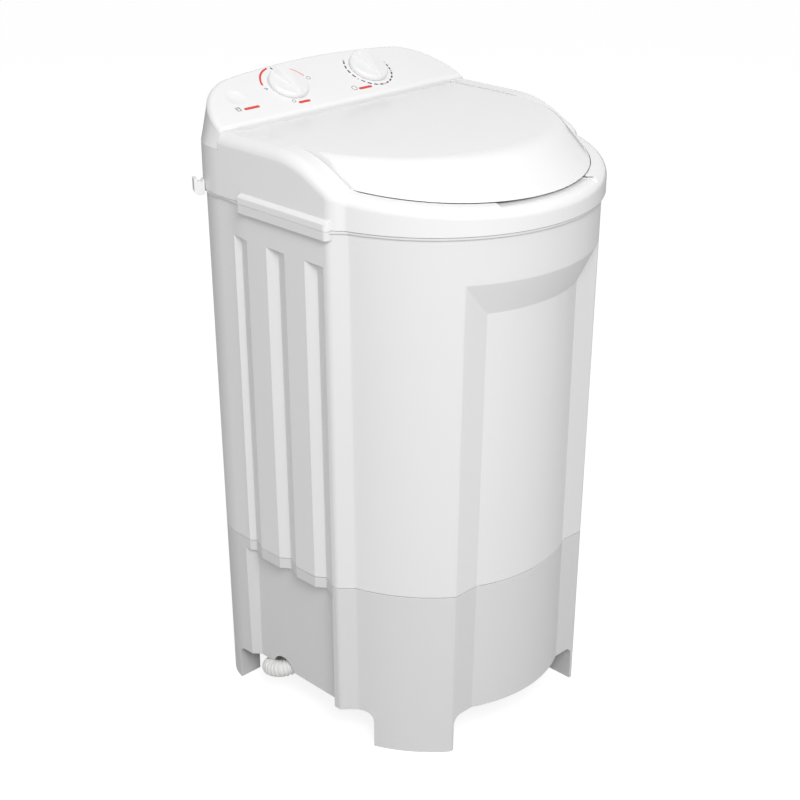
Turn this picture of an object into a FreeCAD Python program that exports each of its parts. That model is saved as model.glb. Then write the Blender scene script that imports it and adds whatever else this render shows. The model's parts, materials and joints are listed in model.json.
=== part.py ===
"""Semi-automatic washing machine: round-fronted cabinet, sloped lid, pulsator drive and drain hose."""
import FreeCAD, Part
import math
import os

import Sketcher
from FreeCAD import Placement, Rotation, Vector

# Driving dimensions in millimetres; heights are above the floor, plan sizes are from the tub's axis
DIMENSIONS = {
    "axis_y": -11,
    "draft": 0.0099,
    "shell_wall": 3.5,
    "sole": 4,
    "foot_gap": 57,
    "base_top": 259,
    "cabinet_top": 777.8,
    "seam_gap": 0.9,
    "joint_deck": 4,
    "joint_hole_radius": 188,
    "body_radius": 227,
    "bulge_radius": 205,
    "flat_y": 182.7,
    "flat_draft": 0.0145,
    "flat_round": 6,
    "side_half": 235.5,
    "rear_side_half": 231,
    "rear_y": 245,
    "rear_corner": 75,
    "strip_y": -69,
    "strip_blend": 12,
    "strip_round": 9,
    "grip_low": 667,
    "grip_high": 716,
    "recess_top": 760,
    "groove_pitch": 76,
    "groove_first_y": -18,
    "groove_front": 23,
    "groove_rear": 13.5,
    "groove_depth": 10,
    "groove_reach": 6,
    "groove_top": 731,
    "band_bottom": 243,
    "band_gap": 2.2,
    "side_recess_half": 219,
    "side_recess_front": -30,
    "side_recess_rear": 140,
    "side_recess_slant": 14,
    "foot_front_y": -91,
    "foot_rear_y": 182,
    "foot_front_x": 131,
    "foot_rear_x": 190,
    "foot_corner": 14,
    "leg_wall_top": 84,
    "notch_y": 90,
    "notch_z": 50,
    "notch_radius": 24,
    "ledge_front": -55,
    "ledge_rear": 118,
    "ledge_root": 236.2,
    "ledge_half": 248,
    "ledge_bottom": 769.5,
    "ledge_split": 781.6,
    "ledge_brow": 791,
    "ledge_top": 799,
    "ledge_round": 7,
    "flange_bottom": 778.2,
    "flange_thick": 3.4,
    "flange_lip": 0.8,
    "tub_wall": 3.2,
    "tub_top_radius": 193,
    "tub_low_radius": 186,
    "tub_corner_z": 352,
    "tub_floor": 336,
    "tub_dish": 324,
    "tub_dish_radius": 128,
    "hub_pad_radius": 64,
    "hub_pad_z": 313,
    "hub_hole_radius": 24,
    "cover_bottom": 782.4,
    "cover_radius": 237.5,
    "cover_side": 241.5,
    "cover_rear": 258,
    "cover_corner": 92,
    "cover_blend": 14,
    "cover_turn": 25,
    "cover_wall": 3.5,
    "cover_round": 16,
    "arm_top": 867,
    "arm_crest_y": 51,
    "arm_crest_radius": 165,
    "arm_slope": 27,
    "arm_dip_radius": 45,
    "rim_top": 815.6,
    "rim_tilt": 5,
    "lid_seat": 814.3,
    "mouth_radius": 193,
    "mouth_rear": 154,
    "deck_y": 163,
    "deck_z": 845,
    "finger_turn": 24,
    "finger_inner": 180,
    "finger_drop": 44,
    "finger_depth": 2.2,
    "sill_z": 858,
    "lid_radius": 214,
    "lid_half": 206,
    "lid_rear": 158,
    "lid_low": 816,
    "lid_high": 866,
    "lid_skew": 53,
    "lid_wall": 3,
    "lid_round": 40,
    "lid_side_round": 3.5,
    "lid_gap": 1.2,
    "hinge_y": 149,
    "hinge_z": 858.5,
    "hinge_pin_radius": 3,
    "panel_front": 164,
    "panel_front_z": 872,
    "panel_tilt": 28.5,
    "panel_half": 236,
    "panel_rear": 260,
    "panel_bow": 1250,
    "panel_corner": 94,
    "panel_bottom": 845.3,
    "panel_round": 8,
    "panel_wall": 3.5,
    "selector_x": -74,
    "timer_x": 81,
    "knob_up": 53,
    "knob_radius": 30,
    "knob_lift": 0.6,
    "knob_disc": 8,
    "knob_grip": 17.5,
    "knob_nose": 9.5,
    "knob_grip_rear": 13.5,
    "knob_grip_front": 2,
    "knob_grip_reach": 26,
    "knob_grip_taper": -15,
    "spindle_radius": 3,
    "spindle_top": 6.5,
    "switch_radius": 21,
    "switch_depth": 34,
    "dimple_x": -171,
    "dimple_up": 50,
    "dimple_radius": 15,
    "dimple_depth": 2.2,
    "shaft_radius": 8,
    "shaft_low": 150,
    "shaft_high": 352,
    "housing_radius": 24,
    "housing_flange": 60,
    "housing_low": 235,
    "housing_bore": 13,
    "plate_thick": 3,
    "bearing_bolt_circle": 46,
    "belt_z": 167,
    "belt_half_thick": 4,
    "belt_outer_half": 5.3,
    "belt_inner_half": 3.2,
    "driven_pitch": 83,
    "motor_pitch": 21,
    "pulley_half": 9,
    "belt_room": 0.6,
    "motor_y": 124,
    "motor_radius": 58,
    "motor_low": 192,
    "motor_shaft_radius": 6,
    "motor_bolt_circle": 34,
    "pulsator_radius": 124,
    "pulsator_low": 326,
    "pulsator_hub": 364,
    "vane_top": 352,
    "drain_x": -125,
    "drain_y": 84,
    "drain_radius": 13.5,
    "drain_nut_radius": 16.8,
    "spigot_radius": 9.4,
    "hose_radius": 12.5,
    "hose_root": 11,
    "hose_bore": 9.6,
    "hose_start_z": 236,
    "hose_rib_pitch": 9,
    "hook_turn": 152,
}

doc = FreeCAD.newDocument("semi_automatic_washing_machine")
sheet = doc.addObject("Spreadsheet::Sheet", "dims")
for row, (alias, number) in enumerate(DIMENSIONS.items(), start=1):
    sheet.set(f"A{row}", alias)
    sheet.set(f"B{row}", str(number))
    sheet.setAlias(f"B{row}", alias)
doc.recompute()

UPRIGHT_FRONT = Rotation(Vector(1, 0, 0), 90)
UPRIGHT_SIDE = Rotation(Vector(0, 1, 0), Vector(0, 0, 1), Vector(1, 0, 0), "XYZ")
FAR = 300
LID_STEPS = 5
pieces = []


def value(expression):
    """Number that an expression on the sheet stands for."""
    return float(sheet.evalExpression(str(expression)))


def bind(thing, **sizes):
    """Tie properties of an object to expressions on the sheet."""
    for name, expression in sizes.items():
        thing.setExpression(name, str(expression))
    return thing


def place(thing, x=0, y=0, z=0):
    """Tie an object's position to expressions on the sheet."""
    for axis, expression in zip("xyz", (x, y, z)):
        thing.setExpression(f"Placement.Base.{axis}", str(expression))
    return thing


def piece(thing, label, y=0):
    """Register a finished sub-part; the tub's axis stands axis_y behind the origin."""
    thing.Label = label
    thing.setExpression("Placement.Base.y", f"dims.axis_y + {y}")
    pieces.append(thing)
    return thing


def fix_point(sketch, edge, end, x, y):
    """Hold one end of a sketch edge at a place given by two expressions."""
    for kind, axis, expression in (("DistanceX", -2, x), ("DistanceY", -1, y)):
        if str(expression) == "0":
            sketch.addConstraint(Sketcher.Constraint("PointOnObject", edge, end, axis))
            continue
        index = sketch.addConstraint(Sketcher.Constraint(kind, edge, end, value(expression)))
        sketch.setExpression(f"Constraints[{index}]", str(expression))


def draw_arc(sketch, begin, end, radius, turn):
    """Add the minor arc from begin to end; turn is 1 for counter-clockwise."""
    chord = end - begin
    rise = math.sqrt(max(radius ** 2 - (chord.Length / 2) ** 2, 0))
    centre = (begin + end) * 0.5 + Vector(-chord.y, chord.x, 0).normalize() * rise * turn
    first, last = (begin, end) if turn > 0 else (end, begin)
    angles = [math.atan2(p.y - centre.y, p.x - centre.x) for p in (first, last)]
    circle = Part.Circle(centre, Vector(0, 0, 1), radius)
    return sketch.addGeometry(Part.ArcOfCircle(circle, *angles))


def draw_outline(sketch, outline):
    """Closed outline of corners (x, y); (x, y, radius, turn) is a corner reached along an arc."""
    points = [Vector(value(corner[0]), value(corner[1]), 0) for corner in outline]
    ends = []
    for index, corner in enumerate(outline):
        begin, end = points[index - 1], points[index]
        if len(corner) == 2:
            edge = sketch.addGeometry(Part.LineSegment(begin, end))
            ends.append((edge, 1, 2))
            continue
        radius, turn = corner[2:]
        edge = draw_arc(sketch, begin, end, value(radius), turn)
        ends.append((edge, 1, 2) if turn > 0 else (edge, 2, 1))
        held = sketch.addConstraint(Sketcher.Constraint("Radius", edge, value(radius)))
        sketch.setExpression(f"Constraints[{held}]", str(radius))
    for index, corner in enumerate(outline):
        edge, _, last = ends[index]
        following, first, _ = ends[(index + 1) % len(outline)]
        sketch.addConstraint(Sketcher.Constraint("Coincident", edge, last, following, first))
        fix_point(sketch, edge, last, corner[0], corner[1])


def draw_circle(sketch, x, y, radius):
    """Circle whose centre and radius are tied to expressions."""
    circle = Part.Circle(Vector(value(x), value(y), 0), Vector(0, 0, 1), value(radius))
    edge = sketch.addGeometry(circle)
    fix_point(sketch, edge, 3, x, y)
    held = sketch.addConstraint(Sketcher.Constraint("Radius", edge, value(radius)))
    sketch.setExpression(f"Constraints[{held}]", str(radius))


def loose_sketch(name, outline, rotation=None, level=0):
    """Sketch outside any body, for lofts, extrusions and sweeps."""
    sketch = doc.addObject("Sketcher::SketchObject", name)
    sketch.Placement = Placement(Vector(), rotation or Rotation())
    sketch.setExpression("Placement.Base.z", str(level))
    draw_outline(sketch, outline)
    return sketch


def loft(name, *sections):
    """Straight-sided solid through sketches."""
    solid = doc.addObject("Part::Loft", name)
    solid.Sections = list(sections)
    solid.Solid = True
    solid.Ruled = True
    return solid


def extrude(name, sketch, forward=0, backward=0):
    """Solid from a sketch, both ways along its normal."""
    solid = doc.addObject("Part::Extrusion", name)
    solid.Base = sketch
    solid.DirMode = "Normal"
    solid.Solid = True
    return bind(solid, LengthFwd=forward, LengthRev=backward)


def cylinder(name, radius, height, x=0, y=0, z=0, rotation=None):
    """Round bar standing on (x, y, z)."""
    bar = bind(doc.addObject("Part::Cylinder", name), Radius=radius, Height=height)
    bar.Placement = Placement(Vector(), rotation or Rotation())
    return place(bar, x, y, z)


def cone(name, low_radius, high_radius, low, high):
    """Frustum about the tub's axis."""
    solid = doc.addObject("Part::Cone", name)
    bind(solid, Radius1=low_radius, Radius2=high_radius, Height=f"{high} - ({low})")
    return place(solid, z=low)


def block(name, x_range, y_range, z_range):
    """Box between pairs of expressions."""
    solid = doc.addObject("Part::Box", name)
    spans = [f"{high} - ({low})" for low, high in (x_range, y_range, z_range)]
    bind(solid, Length=spans[0], Width=spans[1], Height=spans[2])
    return place(solid, x_range[0], y_range[0], z_range[0])


def fuse(name, *parts):
    """Union of solids."""
    if len(parts) == 1:
        return parts[0]
    union = doc.addObject("Part::MultiFuse", name)
    union.Shapes = list(parts)
    return union


def cut(name, stock, *tools):
    """Stock with every tool taken away."""
    result = doc.addObject("Part::Cut", name)
    result.Base = stock
    result.Tool = fuse(f"{name}_tools", *tools)
    return result


def group(name, *solids):
    """Separate solids that share one node."""
    together = doc.addObject("Part::Compound", name)
    together.Links = list(solids)
    return together


def new_body(name):
    """Empty body, kept in the tub-axis frame."""
    return doc.addObject("PartDesign::Body", name)


def body_sketch(body, plane, offset, *outlines):
    """Sketch on one of the body's own origin planes, moved along the plane's normal."""
    sketch = body.newObject("Sketcher::SketchObject", f"{body.Name}_sketch")
    origin_plane = next(f for f in body.Origin.OriginFeatures if f.Role == plane)
    sketch.AttachmentSupport = [(origin_plane, "")]
    sketch.MapMode = "FlatFace"
    sketch.setExpression("AttachmentOffset.Base.z", str(offset))
    for outline in outlines:
        if isinstance(outline, tuple):
            draw_circle(sketch, *outline)
        else:
            draw_outline(sketch, outline)
    return sketch


def pad(body, length, offset, *outlines, plane="XY_Plane"):
    """Add a straight block of the outlines to a body."""
    feature = body.newObject("PartDesign::Pad", f"{body.Name}_pad")
    feature.Profile = body_sketch(body, plane, offset, *outlines)
    return bind(feature, Length=length)


def pocket(body, depth, offset, *outlines, plane="XY_Plane"):
    """Cut a straight hole against the sketch plane's normal, and make sure that it bites."""
    doc.recompute()
    before = body.Shape.Volume
    feature = body.newObject("PartDesign::Pocket", f"{body.Name}_pocket")
    feature.Profile = body_sketch(body, plane, offset, *outlines)
    bind(feature, Length=depth)
    doc.recompute()
    if body.Shape.Volume > before - 1:
        raise ValueError(f"pocket in {body.Name} cuts nothing")
    return feature


def revolve(body, outline):
    """Turn an (r, z) outline about the body's upright axis."""
    feature = body.newObject("PartDesign::Revolution", f"{body.Name}_turn")
    sketch = body_sketch(body, "XZ_Plane", 0, outline)
    feature.Profile = sketch
    feature.ReferenceAxis = (sketch, ["V_Axis"])
    feature.Angle = 360
    return feature


def turned(name, outline):
    """Body that is one turned shape."""
    body = new_body(name)
    revolve(body, outline)
    return body


def pattern(body, feature, count):
    """Repeat a feature about the body's upright axis."""
    ring = body.newObject("PartDesign::PolarPattern", f"{body.Name}_ring")
    ring.Originals = [feature]
    ring.Axis = (feature.Profile[0], ["N_Axis"])
    ring.Angle = 360
    ring.Occurrences = count
    body.Tip = ring
    return ring


def round_edges(body, radius, chosen):
    """Fillet the edges of a body that a test picks."""
    doc.recompute()
    sharp = body.Tip
    names = [f"Edge{n}" for n, edge in enumerate(sharp.Shape.Edges, start=1) if chosen(edge)]
    feature = body.newObject("PartDesign::Fillet", f"{body.Name}_round")
    feature.Base = (sharp, names)
    return bind(feature, Radius=radius)


def edge_points(edge):
    """Points along an edge, ends included."""
    return edge.discretize(5)


def rectangle(x_low, y_low, x_high, y_high):
    """Outline of a rectangle between two corners."""
    return [(x_low, y_low), (x_high, y_low), (x_high, y_high), (x_low, y_high)]


def arch(name, low, high, rotation, forward, backward):
    """Opening between two legs, with rounded upper corners."""
    corner, top = "dims.foot_corner", "dims.foot_gap"
    outline = [
        (low, "-dims.sole"),
        (high, "-dims.sole"),
        (high, f"{top} - {corner}"),
        (f"{high} - {corner}", top, corner, 1),
        (f"{low} + {corner}", top),
        (low, f"{top} - {corner}", corner, 1),
    ]
    return extrude(name, loose_sketch(f"{name}_outline", outline, rotation), forward, backward)


def shoulder(radius, side, blend, turn):
    """Right shoulder of a plan: round front, hollow blend, strip at 45 degrees, round turn, straight side."""
    front_x = f"sqrt({radius}^2 - dims.strip_y^2)"
    along_strip = f"(({front_x} + dims.strip_y) * sqrt(0.5))"
    off_strip = f"(({front_x} - dims.strip_y) * sqrt(0.5))"
    reach = f"sqrt({along_strip}^2 + 2 * {blend} * ({radius} - {off_strip}))"
    share = f"sqrt(0.5) * {radius} / ({radius} + {blend})"
    corner_y = f"({side} - {off_strip} * sqrt(2))"
    tangent = f"({turn} * tan(22.5 deg))"
    return [
        (f"({reach} + {off_strip} + {blend}) * {share}", f"({reach} - {off_strip} - {blend}) * {share}",
         radius, 1),
        (f"({reach} + {off_strip}) * sqrt(0.5)", f"({reach} - {off_strip}) * sqrt(0.5)", blend, -1),
        (f"{side} - {tangent} * sqrt(0.5)", f"{corner_y} - {tangent} * sqrt(0.5)"),
        (side, f"{corner_y} + {tangent}", turn, 1),
    ]


def mirrored(right):
    """Outline of corners on the right, closed by the same corners on the left in reverse order."""
    left = []
    for corner, following in zip(right[::-1], [(0, 0)] + right[::-1]):
        left.append((f"-({corner[0]})", corner[1], *following[2:]))
    return right + left


# Body outline shared by the base, the cabinet and the tub's flange
def body_outline(level, inset):
    """Plan of the drafted body at a height, moved inwards by inset."""
    grow = f"(dims.draft * ({level} - dims.base_top) - ({inset}))"
    radius = f"(dims.body_radius + {grow})"
    side = f"(dims.side_half + {grow})"
    rear_side = f"(dims.rear_side_half + {grow})"
    rear = f"(dims.rear_y + {grow})"
    corner = f"(dims.rear_corner + {grow})"
    last_valley = "(dims.groove_first_y + 2 * dims.groove_pitch)"
    lip_front = f"{last_valley} - dims.groove_front"
    lip_rear = f"{last_valley} + dims.groove_rear"
    return mirrored([
        *shoulder(radius, side, f"(dims.strip_blend - {grow})", f"(dims.strip_round + {grow})"),
        (side, lip_front),
        (rear_side, lip_rear),
        (rear_side, f"{rear} - {corner}"),
        (f"{rear_side} - {corner}", rear, corner, 1),
    ])


def body_block(name, low, high, inset):
    """Drafted block of the body outline between two heights."""
    sections = [
        loose_sketch(f"{name}_{end}", body_outline(level, inset), level=level)
        for end, level in (("low", low), ("high", high))
    ]
    return loft(name, *sections)


def front_recess(name, inset):
    """Front hollow: before the drafted flats, around the bulge and below the sloped grip ceiling."""
    below, above = "(dims.base_top + dims.sole)", "(dims.recess_top - dims.base_top)"
    profile = [
        (-FAR, "-dims.sole"),
        (f"-(dims.flat_y - {inset} - dims.flat_draft * {below})", "-dims.sole"),
        (f"-(dims.flat_y - {inset} + dims.flat_draft * {above})", "dims.recess_top"),
        (-FAR, "dims.recess_top"),
    ]
    sketch = loose_sketch(f"{name}_profile", profile, UPRIGHT_SIDE)
    hollow = extrude(f"{name}_front", sketch, FAR / 2, FAR / 2)
    grown = f"(dims.bulge_radius - {inset} + dims.draft * (dims.grip_low - dims.base_top))"
    floor_radius = f"dims.bulge_radius - {inset} - dims.draft * (dims.base_top + dims.sole)"
    rim = f"(dims.body_radius - {inset} + dims.draft * (dims.grip_high - dims.base_top))"
    rise = "(dims.recess_top - dims.grip_low) / (dims.grip_high - dims.grip_low)"
    bulge = cone(f"{name}_bulge", floor_radius, grown, "-dims.sole", "dims.grip_low")
    ceiling_radius = f"{grown} + ({rim} - {grown}) * {rise}"
    ceiling = cone(f"{name}_ceiling", grown, ceiling_radius, "dims.grip_low", "dims.recess_top")
    return cut(name, hollow, bulge, ceiling)


def groove(name, side, valley, inset):
    """One side groove: gentle front wall, steep rear wall, drafted with the body."""
    reach = "(1 + dims.groove_reach / dims.groove_depth)"
    sections = []
    for end, level in (("low", "dims.band_bottom - dims.sole"), ("high", f"dims.groove_top + {inset}")):
        face = f"(dims.side_half + dims.draft * ({level} - dims.base_top))"
        outer = f"{side} * ({face} + dims.groove_reach - {inset})"
        bottom = f"{side} * ({face} - dims.groove_depth - {inset})"
        outline = [
            (outer, f"{valley} - dims.groove_front * {reach}"),
            (bottom, valley),
            (outer, f"{valley} + dims.groove_rear * {reach}"),
        ]
        sections.append(loose_sketch(f"{name}_{end}", outline, level=level))
    return loft(name, *sections)


def side_recess(name, side, inset):
    """Undercut below the ribbed band on one side of the base, with slanted ends."""
    inner = f"{side} * (dims.side_recess_half - {inset})"
    outer = f"{side} * {FAR}"
    slant = f"({FAR} - dims.side_recess_half)"
    outline = [
        (inner, f"dims.side_recess_front - {inset}"),
        (inner, f"dims.side_recess_rear + {inset}"),
        (outer, f"dims.side_recess_rear + {inset} + {slant} * dims.side_recess_slant / 12"),
        (outer, f"dims.side_recess_front - {inset} - {slant} * dims.side_recess_slant / 24"),
    ]
    sketch = loose_sketch(f"{name}_outline", outline, level="-dims.sole")
    return extrude(name, sketch, f"dims.band_bottom + dims.sole + {inset}")


def groove_set(name, inset):
    """Three grooves on each side."""
    grooves = []
    for side in (-1, 1):
        for number in range(3):
            valley = f"(dims.groove_first_y + {number} * dims.groove_pitch)"
            label = f"{name}_{'left' if side < 0 else 'right'}_{number + 1}"
            grooves.append(groove(label, side, valley, inset))
    return grooves


WALL = "dims.shell_wall"
recess = front_recess("recess", 0)
recess_liner = front_recess("recess_liner", WALL)
grooves = groove_set("groove", 0)
groove_liners = groove_set("groove_liner", WALL)
joint_hole = cylinder(
    "joint_hole", "dims.joint_hole_radius", "4 * dims.joint_deck", z="dims.base_top - 2 * dims.joint_deck"
)
seam_core = cut(
    "seam_core",
    body_block("seam_core_block", "dims.base_top - 2", "dims.base_top + 2", WALL),
    recess_liner, *groove_liners,
)
seam_ring = cut(
    "seam_ring", body_block("seam_slab", "dims.base_top - 1", "dims.base_top + dims.seam_gap", -1), seam_core
)
JOINT_SCREWS = [(170, 175), (206, 20), (70, -181)]
joint_bores = [
    cylinder(f"joint_bore_{n}_{side}", 2.3, "4 * dims.joint_deck", side * x, y,
             "dims.base_top - 2 * dims.joint_deck")
    for n, (x, y) in enumerate(JOINT_SCREWS)
    for side in (-1, 1)
]


def rounded_recess(name, stock):
    """Stock with the front hollow taken away and the edges beside and above the hollow softened."""
    sharp = cut(f"{name}_sharp", stock, recess)
    doc.recompute()
    radius = value("dims.flat_round")
    chosen = []
    for number, edge in enumerate(sharp.Shape.Edges, start=1):
        box = edge.BoundBox
        beside = box.ZLength > 200 and box.YMax < -100 and 105 < abs(box.Center.x) < 160
        above = box.YMin < -215 and 690 < box.ZMin and box.ZMax < 730
        if beside or above:
            chosen.append((number, radius, radius))
    soft = doc.addObject("Part::Fillet", name)
    soft.Base = sharp
    soft.Edges = chosen
    return soft


def leg_walls():
    """Inner walls that close each leg towards the arches."""
    wall, height = "dims.shell_wall", ("0", "dims.leg_wall_top")
    legs = [
        ("front", "dims.foot_front_x", (f"dims.foot_front_y - {wall}", "dims.foot_front_y"),
         (-FAR, "dims.foot_front_y")),
        ("rear", "dims.foot_rear_x", ("dims.foot_rear_y", f"dims.foot_rear_y + {wall}"),
         ("dims.foot_rear_y", FAR)),
    ]
    walls = []
    for leg, inner, thickness, depth in legs:
        left, right = (-FAR, f"-{inner}"), (inner, FAR)
        left_side, right_side = (f"-{inner} - {wall}", f"-{inner}"), (inner, f"{inner} + {wall}")
        for side, across, along_depth in (("left", left, left_side), ("right", right, right_side)):
            walls.append(block(f"{leg}_{side}_leg_cross", across, thickness, height))
            walls.append(block(f"{leg}_{side}_leg_side", along_depth, depth, height))
    return walls


def band_gaps():
    """Narrow gaps between the ribbed band and the wall of each side recess, below the two full ribs."""
    wall = "dims.side_recess_half"
    spans = {"left": (f"-{wall} - 1", f"-{wall} + 5"), "right": (f"{wall} - 5", f"{wall} + 1")}
    height = ("dims.band_bottom - dims.band_gap", "dims.band_bottom + 0.1")
    gaps = []
    for label, span in spans.items():
        for number in range(2):
            valley = f"(dims.groove_first_y + {number} * dims.groove_pitch)"
            reach = (f"{valley} + 2", f"{valley} + dims.groove_pitch - 6")
            gaps.append(block(f"band_gap_{label}_{number + 1}", span, reach, height))
    return gaps


def make_base():
    """Lower skirt: hollow shell with closed legs, side recesses, arches and hose notch."""
    outer = rounded_recess("base_outer", body_block("base_block", "0", "dims.base_top", 0))
    space = body_block("base_space", "dims.sole", "dims.base_top - dims.joint_deck", WALL)
    side_liners = [side_recess(f"side_liner_{n}", s, WALL) for n, s in enumerate((-1, 1))]
    space = cut("base_hollow", space, recess_liner, *groove_liners, *side_liners, *leg_walls())
    side_cuts = [side_recess(f"side_recess_{n}", s, 0) for n, s in enumerate((-1, 1))]
    arches = [
        arch("front_arch", "-dims.foot_front_x", "dims.foot_front_x", UPRIGHT_FRONT, FAR, 0),
        arch("rear_arch", "-dims.foot_rear_x", "dims.foot_rear_x", UPRIGHT_FRONT, 0, FAR),
        arch("side_arch", "dims.foot_front_y", "dims.foot_rear_y", UPRIGHT_SIDE, FAR, FAR),
    ]
    notch = cylinder(
        "hose_notch", "dims.notch_radius", 50, -245, "dims.notch_y", "dims.notch_z",
        Rotation(Vector(0, 1, 0), 90),
    )
    gland_hole = cylinder(
        "gland_hole", GLAND_RADIUS + 0.2, 40, GLAND_X, "dims.rear_y - 20", GLAND_Z,
        Rotation(Vector(1, 0, 0), -90),
    )
    piece(cut("base", outer, space, *grooves, *side_cuts, *band_gaps(), *arches, notch, gland_hole,
              joint_hole, *joint_bores), "base")


GLAND_X = 120
GLAND_Z = 150
GLAND_RADIUS = 8


def hand_ledges(name, profile):
    """Pair of ledges along the sides that the hands lift by, with rounded front ends."""
    front, outer = value("dims.ledge_front"), value("dims.ledge_half")

    def at_front_end(edge):
        return all(abs(p.y - front) < 0.1 and abs(p.x) > outer - 0.1 for p in edge_points(edge))

    ledges = []
    for label, side in (("left", -1), ("right", 1)):
        bar = new_body(f"{name}_{label}")
        outline = [(f"{side} * ({x})", z) for x, z in profile]
        pad(bar, "dims.ledge_rear - dims.ledge_front", "-dims.ledge_rear", outline, plane="XZ_Plane")
        round_edges(bar, "dims.ledge_round", at_front_end)
        ledges.append(bar)
    return ledges


def make_cabinet():
    """Body shell between base and top cover, open at the top, with a deck that the base screws to."""
    block_shape = body_block("cabinet_block", "dims.base_top", "dims.cabinet_top", 0)
    outer = rounded_recess("cabinet_outer", block_shape)
    space = body_block("cabinet_space", "dims.base_top + dims.joint_deck", "dims.cabinet_top + 1", WALL)
    hollow = cut("cabinet_hollow", space, recess_liner, *groove_liners)
    shell = cut("cabinet_shell", outer, hollow, *grooves, seam_ring, joint_hole, *joint_bores)
    clear_of_flange = "dims.ledge_half - 6"
    ledges = hand_ledges("cabinet_ledge", [
        ("dims.ledge_root", "dims.ledge_bottom"),
        ("dims.ledge_half", "dims.ledge_bottom"),
        ("dims.ledge_half", "dims.ledge_split"),
        (clear_of_flange, "dims.ledge_split"),
        (clear_of_flange, "dims.cabinet_top"),
        ("dims.ledge_root", "dims.cabinet_top"),
    ])
    piece(fuse("cabinet", shell, *ledges), "cabinet")


def make_wash_tub():
    """Hung tub: drafted wall, dished floor with a hub pad, and the flange that shows in the top seam."""
    tub = new_body("wash_tub")
    wall = "dims.tub_wall"
    top = "dims.flange_bottom + dims.flange_thick"
    revolve(tub, [
        ("dims.hub_hole_radius", "dims.hub_pad_z"),
        ("dims.hub_pad_radius", "dims.hub_pad_z"),
        ("dims.hub_pad_radius + 2", f"dims.tub_dish - {wall}"),
        (f"dims.tub_dish_radius + {wall}", f"dims.tub_dish - {wall}"),
        (f"dims.tub_dish_radius + {wall} + 2", f"dims.tub_floor - {wall}"),
        (f"dims.tub_low_radius - 12", f"dims.tub_floor - {wall}"),
        (f"dims.tub_low_radius + {wall}", "dims.tub_corner_z", 16, 1),
        (f"dims.tub_top_radius + {wall}", top),
        ("dims.tub_top_radius", top),
        ("dims.tub_low_radius", "dims.tub_corner_z"),
        ("dims.tub_low_radius - 14", "dims.tub_floor", 17, -1),
        ("dims.tub_dish_radius + 2", "dims.tub_floor"),
        ("dims.tub_dish_radius", "dims.tub_dish"),
        ("dims.hub_hole_radius", "dims.tub_dish"),
    ])
    flange = body_outline("dims.cabinet_top", "-dims.flange_lip")
    pad(tub, "dims.flange_thick", "dims.flange_bottom", flange, ("0", "0", "dims.tub_top_radius + 1"))
    pocket(tub, 60, "dims.tub_floor + 20", ("dims.drain_x", "dims.drain_y", "dims.drain_radius + 0.1"))
    doc.recompute()
    blind = pocket(tub, 9, "dims.hub_pad_z + 9", ("dims.bearing_bolt_circle", "0", 3.1))
    pattern(tub, blind, 4)
    piece(tub, "wash_tub")


# Top cover, as an outer block and the hollow inside it
def cover_outline(inset):
    """Plan of the cover: round front, strips at 45 degrees, straight sides and round rear corners."""
    radius = f"(dims.cover_radius - {inset})"
    side = f"(dims.cover_side - {inset})"
    rear = f"(dims.cover_rear - {inset})"
    corner = f"(dims.cover_corner - {inset})"
    return mirrored([
        *shoulder(radius, side, f"(dims.cover_blend + {inset})", f"(dims.cover_turn - {inset})"),
        (side, f"{rear} - {corner}"),
        (f"{side} - {corner}", rear, corner, 1),
    ])


def cover_top(inset):
    """Side view of what lies above the arms and the front rim, which rises gently to the rear."""
    top = f"(dims.arm_top - {inset})"
    rim = f"(dims.rim_top - {inset})"
    slope, tilt = "(dims.arm_slope * 1 deg)", "(dims.rim_tilt * 1 deg)"
    crest, dip = "dims.arm_crest_radius", "dims.arm_dip_radius"
    bend_y = f"(dims.arm_crest_y - {crest} * sin({slope}))"
    bend_z = f"({top} - {crest} * (1 - cos({slope})))"
    meet_y = (f"(({rim} + dims.lid_radius * tan({tilt}) - {bend_z} + {bend_y} * tan({slope}))"
              f" / (tan({slope}) - tan({tilt})))")
    meet_z = f"({rim} + ({meet_y} + dims.lid_radius) * tan({tilt}))"
    run = f"({dip} * tan(({slope} - {tilt}) / 2))"
    return [
        (FAR, top),
        (FAR, 950),
        (-FAR, 950),
        (-FAR, f"{rim} + (dims.lid_radius - {FAR}) * tan({tilt})"),
        (f"{meet_y} - {run} * cos({tilt})", f"{meet_z} - {run} * sin({tilt})"),
        (f"{meet_y} + {run} * cos({slope})", f"{meet_z} + {run} * sin({slope})", dip, 1),
        (bend_y, bend_z),
        ("dims.arm_crest_y", top, crest, -1),
    ]


def lid_plan(skew, inset):
    """Plan of the lid: round front, straight sides and rear."""
    radius = f"(dims.lid_radius - ({inset}))"
    side = f"(dims.lid_half - ({inset}))"
    corner_y = f"{skew} - sqrt({radius}^2 - {side}^2)"
    rear = f"dims.lid_rear - ({inset})"
    return [(side, corner_y, radius, 1), (side, rear), (f"-{side}", rear), (f"-{side}", corner_y)]


def is_upper_edge(low):
    """Test for the edges along a top face that don't run straight across the machine."""
    def chosen(edge):
        points = edge_points(edge)
        level = min(p.z for p in points) > low
        across = abs(points[-1].x - points[0].x) > edge.Length - 0.5
        return level and not across
    return chosen


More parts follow.
